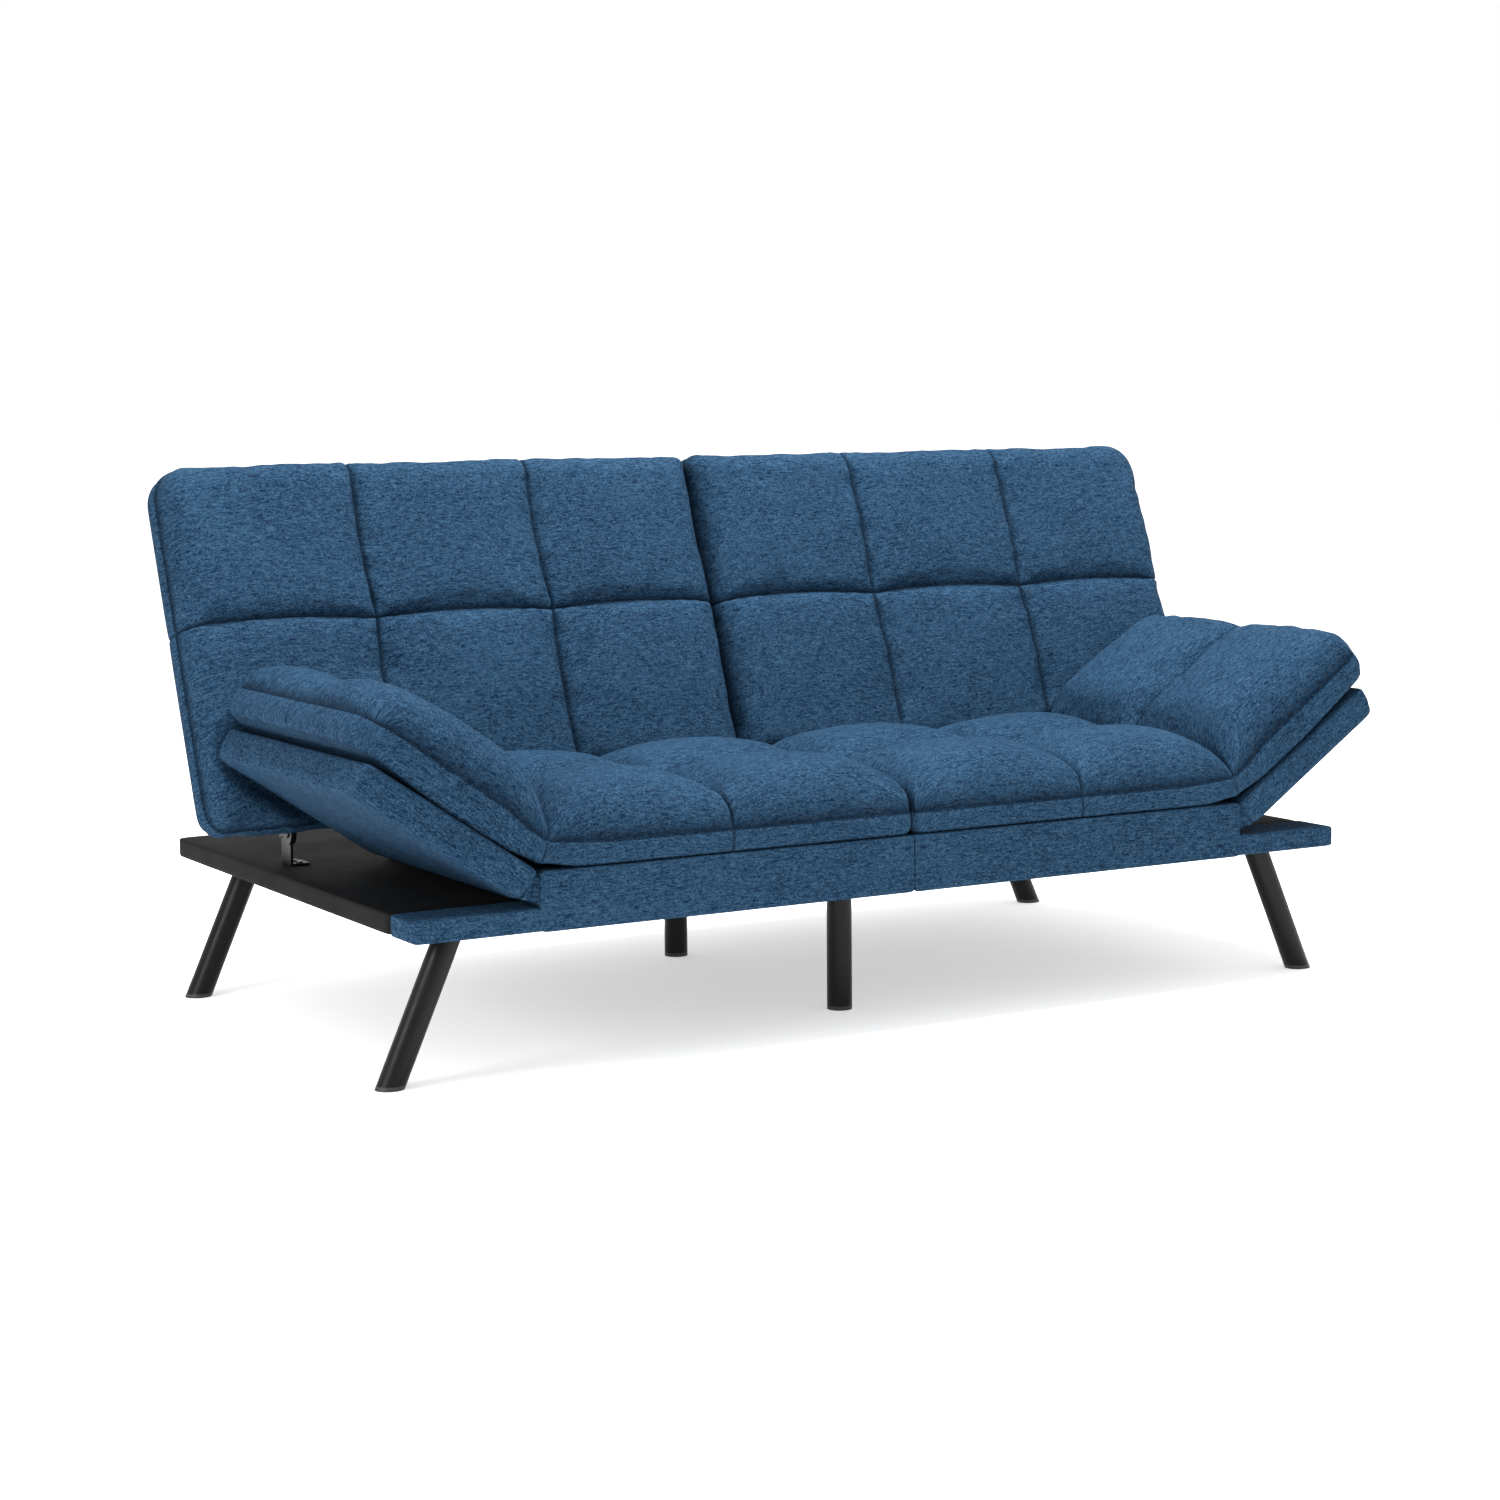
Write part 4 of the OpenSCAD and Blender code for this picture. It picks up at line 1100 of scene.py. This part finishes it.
def soft_box_mesh(low, high, radius, puff=0.0, step=0.02, seed=0, under_radius=None):
    """Points, faces and weave map of a fine grid box with rounded edges and a slight unevenness.
    Its underside edges can have a radius of their own."""
    size = np.array(high) - np.array(low)
    counts = [max(8, int(round(s / step))) for s in size]
    lines = [spread(low[k], high[k], 0.3, 0.3, counts[k]) for k in range(3)]
    points, faces, maps, known = [], [], [], {}

    def vertex(index):
        if index not in known:
            known[index] = len(points)
            points.append([lines[k][index[k]] for k in range(3)])
        return known[index]

    for axis in range(3):
        i, j = (axis + 1) % 3, (axis + 2) % 3
        for end, turn in ((0, -1), (counts[axis], 1)):
            for p in range(counts[i]):
                for q in range(counts[j]):
                    quad = []
                    for dp, dq in ((0, 0), (1, 0), (1, 1), (0, 1))[::turn]:
                        index = [0, 0, 0]
                        index[axis], index[i], index[j] = end, p + dp, q + dq
                        quad.append(tuple(index))
                    faces.append([vertex(x) for x in quad])
                    flat = [(lines[i][x[i]], lines[j][x[j]]) for x in quad]
                    maps.append([(b, a) for a, b in flat] if axis == 1 else flat)
    points = np.array(points)
    if under_radius:
        below = points[:, 2:] < (low[2] + high[2]) / 2
        radius = np.where(below, under_radius, radius)
    core = np.clip(points, np.array(low) + radius, np.array(high) - radius)
    away = points - core
    length = np.maximum(np.linalg.norm(away, axis=1, keepdims=True), 1e-9)
    away /= length
    points = core + away * np.minimum(length, radius)
    points += away * (puff * (0.5 + 0.5 * wave(points, 0.09, seed)))[:, None]
    return points, faces, maps


def soft_piece(name, place, boxes, material):
    """One piece from one or more rounded boxes in a place's frame."""
    points, faces, maps = [], [], []
    for p, f, m in boxes:
        base = sum(len(q) for q in points)
        points.append(p)
        faces += [[base + i for i in face] for face in f]
        maps += m
    if place.flipped():
        faces = [f[::-1] for f in faces]
        maps = [m[::-1] for m in maps]
    piece = new_piece(name, place.world(np.concatenate(points)), faces, material)
    add_map(piece, maps)
    refine(piece)
    return piece


def inner_frame(node, place, low, high, inset):
    """The timber frame inside a cover, planed back so the rounded cloth clears it."""
    source = frame["nodes"][node]
    piece = source.copy()
    piece.data = source.data.copy()
    piece.name = node + "_planed"
    bpy.context.scene.collection.objects.link(piece)
    points = place.local(node_points(node))
    points = place.world(np.clip(points, np.array(low) + inset, np.array(high) - inset))
    piece.data.vertices.foreach_set("co", points.ravel())
    piece.data.materials.clear()
    piece.data.materials.append(SOFTWOOD)
    piece.data.update()
    return piece


def dress(piece, node, body):
    """The piece takes the place of a CAD node, on its body."""
    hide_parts(node)
    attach(piece, body)


# Edge radius on top and underneath, and how far the cover's outer end stands past the CAD board's
BOARD_EDGES = {"arm": (0.008, 0.015, 0.005), "back": (0.007, 0.022, -0.007)}
FRAME_INSET = 0.004  # how far the timber of seat and platform is planed back
PANEL_THICK = 0.010  # the seat cover's front panel


def make_boards():
    """Cloth covers of the arm, back, seat and platform boards."""
    for side in SIDES:
        for kind, place in (("arm", arm_place(side)), ("back", back_place(side))):
            radius, under, end = BOARD_EDGES[kind]
            node = f"{kind}_cover_{side}"
            low, high = extent(place, node)
            high[0] += end
            boxes = [soft_box_mesh(low, high, radius, 0.001, seed=3, under_radius=under)]
            board = soft_piece(f"{kind}_board_cloth_{side}", place, boxes, BLUE_CLOTH)
            dress(board, node, f"{kind}_{side}")
            timber_frame = inner_frame(f"{kind}_frame_{side}", place, low, high, under * 0.45)
            dress(timber_frame, f"{kind}_frame_{side}", f"{kind}_{side}")

        place = half_place(side)
        low, high = extent(place, f"seat_cover_{side}")
        apron_low, apron_high = extent(place, f"base_apron_{side}")
        panel_low = (low[0] + 0.0006, low[1] - 0.0015, apron_low[2] - 0.0005)
        panel_high = (high[0] - 0.0005, low[1] + PANEL_THICK, high[2] - 0.0005)
        boxes = [soft_box_mesh(low + [0.0005, 0.002, 0], high, 0.006, 0.0006, seed=5),
                 soft_box_mesh(panel_low, panel_high, 0.004, 0.0006, seed=8)]
        seat = soft_piece(f"seat_frame_cloth_{side}", place, boxes, BLUE_CLOTH)
        dress(seat, f"seat_cover_{side}", "base")
        seat_frame = inner_frame(f"seat_frame_{side}", place, low, high, FRAME_INSET)
        dress(seat_frame, f"seat_frame_{side}", "base")
        boxes = [soft_box_mesh(apron_low, apron_high, 0.005, 0.0005, seed=6)]
        apron = soft_piece(f"apron_cloth_{side}", place, boxes, BLUE_CLOTH)
        dress(apron, f"base_apron_{side}", "base")
        deck_low, deck_high = extent(place, f"base_cover_{side}")
        boxes = [soft_box_mesh(deck_low, deck_high, 0.006, 0.0005, 0.04, seed=7)]
        deck = soft_piece(f"platform_lining_{side}", place, boxes, BLACK_LINING)
        dress(deck, f"base_cover_{side}", "base")
        base_frame = inner_frame(f"base_frame_{side}", place, np.minimum(apron_low, deck_low),
                                 np.maximum(apron_high, deck_high), FRAME_INSET)
        dress(base_frame, f"base_frame_{side}", "base")


make_boards()


GUSSET_ROWS, GUSSET_COLUMNS = 9, 7  # grid points down the board and across the wedge
GUSSET_DEPTH = 0.05
GUSSET_DENT = 0.006  # how far its front face is drawn in
GUSSET_EDGE = 0.006  # it stops this far short of the boards' faces
STAPLE_INSET = 0.018  # from the platform's edges


def make_gussets():
    """A small folded piece of cloth at the front that closes the wedge between the seat and each arm board."""
    for side in SIDES:
        seat, arm = seat_place(side), arm_place(side)
        hinge = SEAT_HIGH[0]
        thick = SEAT_HIGH[2] - SEAT_LOW[2]
        rows = []
        for n in range(GUSSET_ROWS):
            w = -GUSSET_EDGE - (thick - 2 * GUSSET_EDGE) * (n / (GUSSET_ROWS - 1))
            on_seat = seat.world([[hinge - 0.002, 0.004, w]])[0]
            on_arm = arm.world([[0.002, 0.004, w]])[0]
            rows.append((on_seat, on_arm))
        points, faces = [], []
        columns = GUSSET_COLUMNS
        for y in (0.0, GUSSET_DEPTH):
            for on_seat, on_arm in rows:
                for m in range(columns):
                    s = m / (columns - 1)
                    p = on_seat * (1 - s) + on_arm * s
                    p[1] += y + (GUSSET_DENT * math.sin(math.pi * s) if y == 0 else 0)
                    points.append(p)
        count = len(rows) * columns
        for n in range(len(rows) - 1):
            for m in range(columns - 1):
                a = n * columns + m
                front = [a, a + columns, a + columns + 1, a + 1]
                faces.append(front)
                faces.append([count + i for i in reversed(front)])
        border = [n * columns + m for m, n in rim(columns, len(rows))]
        for a, b in zip(border, border[1:] + border[:1]):
            faces.append([a, b, count + b, count + a])
        if seat.flipped():
            faces = [f[::-1] for f in faces]
        piece = new_piece(f"gusset_{side}", points, faces, BLUE_CLOTH)
        add_map(piece, [(points[v][0], points[v][2]) for f in piece.data.polygons for v in f.vertices])
        end = arm.world([[0.002, 0, -thick / 2]])[0]
        end[1] = FRONT_Y
        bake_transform(piece)


make_gussets()


def make_staples():
    """Staples that hold the lining and the cloth under the platform."""
    for side in SIDES:
        low, high = (np.array(c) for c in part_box(f"base_cover_{side}"))
        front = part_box(f"base_apron_{side}")[0][1]
        z = low[2] - 0.0003
        inner, outer = (low[0], high[0]) if side == "right" else (high[0], low[0])
        edge = outer - SIGN[side] * STAPLE_INSET
        lines = [[(inner, front + STAPLE_INSET, z), (edge, front + STAPLE_INSET, z)],
                 [(inner, high[1] - STAPLE_INSET, z), (edge, high[1] - STAPLE_INSET, z)],
                 [(edge, front + 0.03, z), (edge, high[1] - 0.03, z)]]
        rows = repeated(f"staples_{side}", lines, STAPLES, ZINC_STEEL)
        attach(rows, "base")


make_staples()

# ---------------------------------------------------------------- carried-over nodes

FINISH_OF_SLOT = {"timber": SOFTWOOD, "black_metal": POWDER_COAT, "zinc_steel": ZINC_STEEL,
                  "glide_plastic": PLASTIC}
for row in frame["record"]["subparts"]:
    material = FINISH_OF_SLOT.get(row["material_slot"])
    if material:
        for holder in frame["nodes"][row["node"]].material_slots:
            holder.material = material

# ---------------------------------------------------------------- floor and light

FLOOR_GLOW = 0.50  # the floor is a lit white sweep, so its shadows stay pale
# Name, place, the point it shines at, width in metres and watts
LIGHTS = (("top", (0.3, -0.30, 3.8), (-0.1, -0.1, 0.4), 1.8, 285),
          ("side", (-3.0, -0.7, 1.2), (-0.8, 0, 0.4), 1.0, 36))


def area_light(name, at, towards, size, power):
    """A round lamp that shines at a point."""
    data = bpy.data.lights.new(name, "AREA")
    data.energy, data.size, data.shape = power, size, "DISK"
    lamp = bpy.data.objects.new(name, data)
    lamp.location = at
    lamp.rotation_euler = (Vector(towards) - Vector(at)).to_track_quat("-Z", "Y").to_euler()
    bpy.context.scene.collection.objects.link(lamp)


def make_stage():
    """A pale lit floor, a white surround, a soft top light and a side light."""
    bpy.ops.mesh.primitive_plane_add(size=80, location=(0, 0, 0))
    floor = bpy.context.object
    floor.name = "floor"
    material, t, shader = new_material("pale floor")
    shader.inputs["Base Color"].default_value = (0.85, 0.85, 0.85, 1)
    shader.inputs["Roughness"].default_value = 0.9
    shader.inputs["Specular IOR Level"].default_value = 0.0
    shader.inputs["Emission Color"].default_value = (1, 1, 1, 1)
    shader.inputs["Emission Strength"].default_value = FLOOR_GLOW
    floor.data.materials.append(material)
    world = bpy.data.worlds.new("studio")
    bpy.context.scene.world = world
    world.use_nodes = True
    world.node_tree.nodes["Background"].inputs["Color"].default_value = (1, 1, 1, 1)
    world.node_tree.nodes["Background"].inputs["Strength"].default_value = 1.0
    for lamp in LIGHTS:
        area_light(*lamp)
    bpy.context.scene.view_settings.view_transform = "Standard"


make_stage()
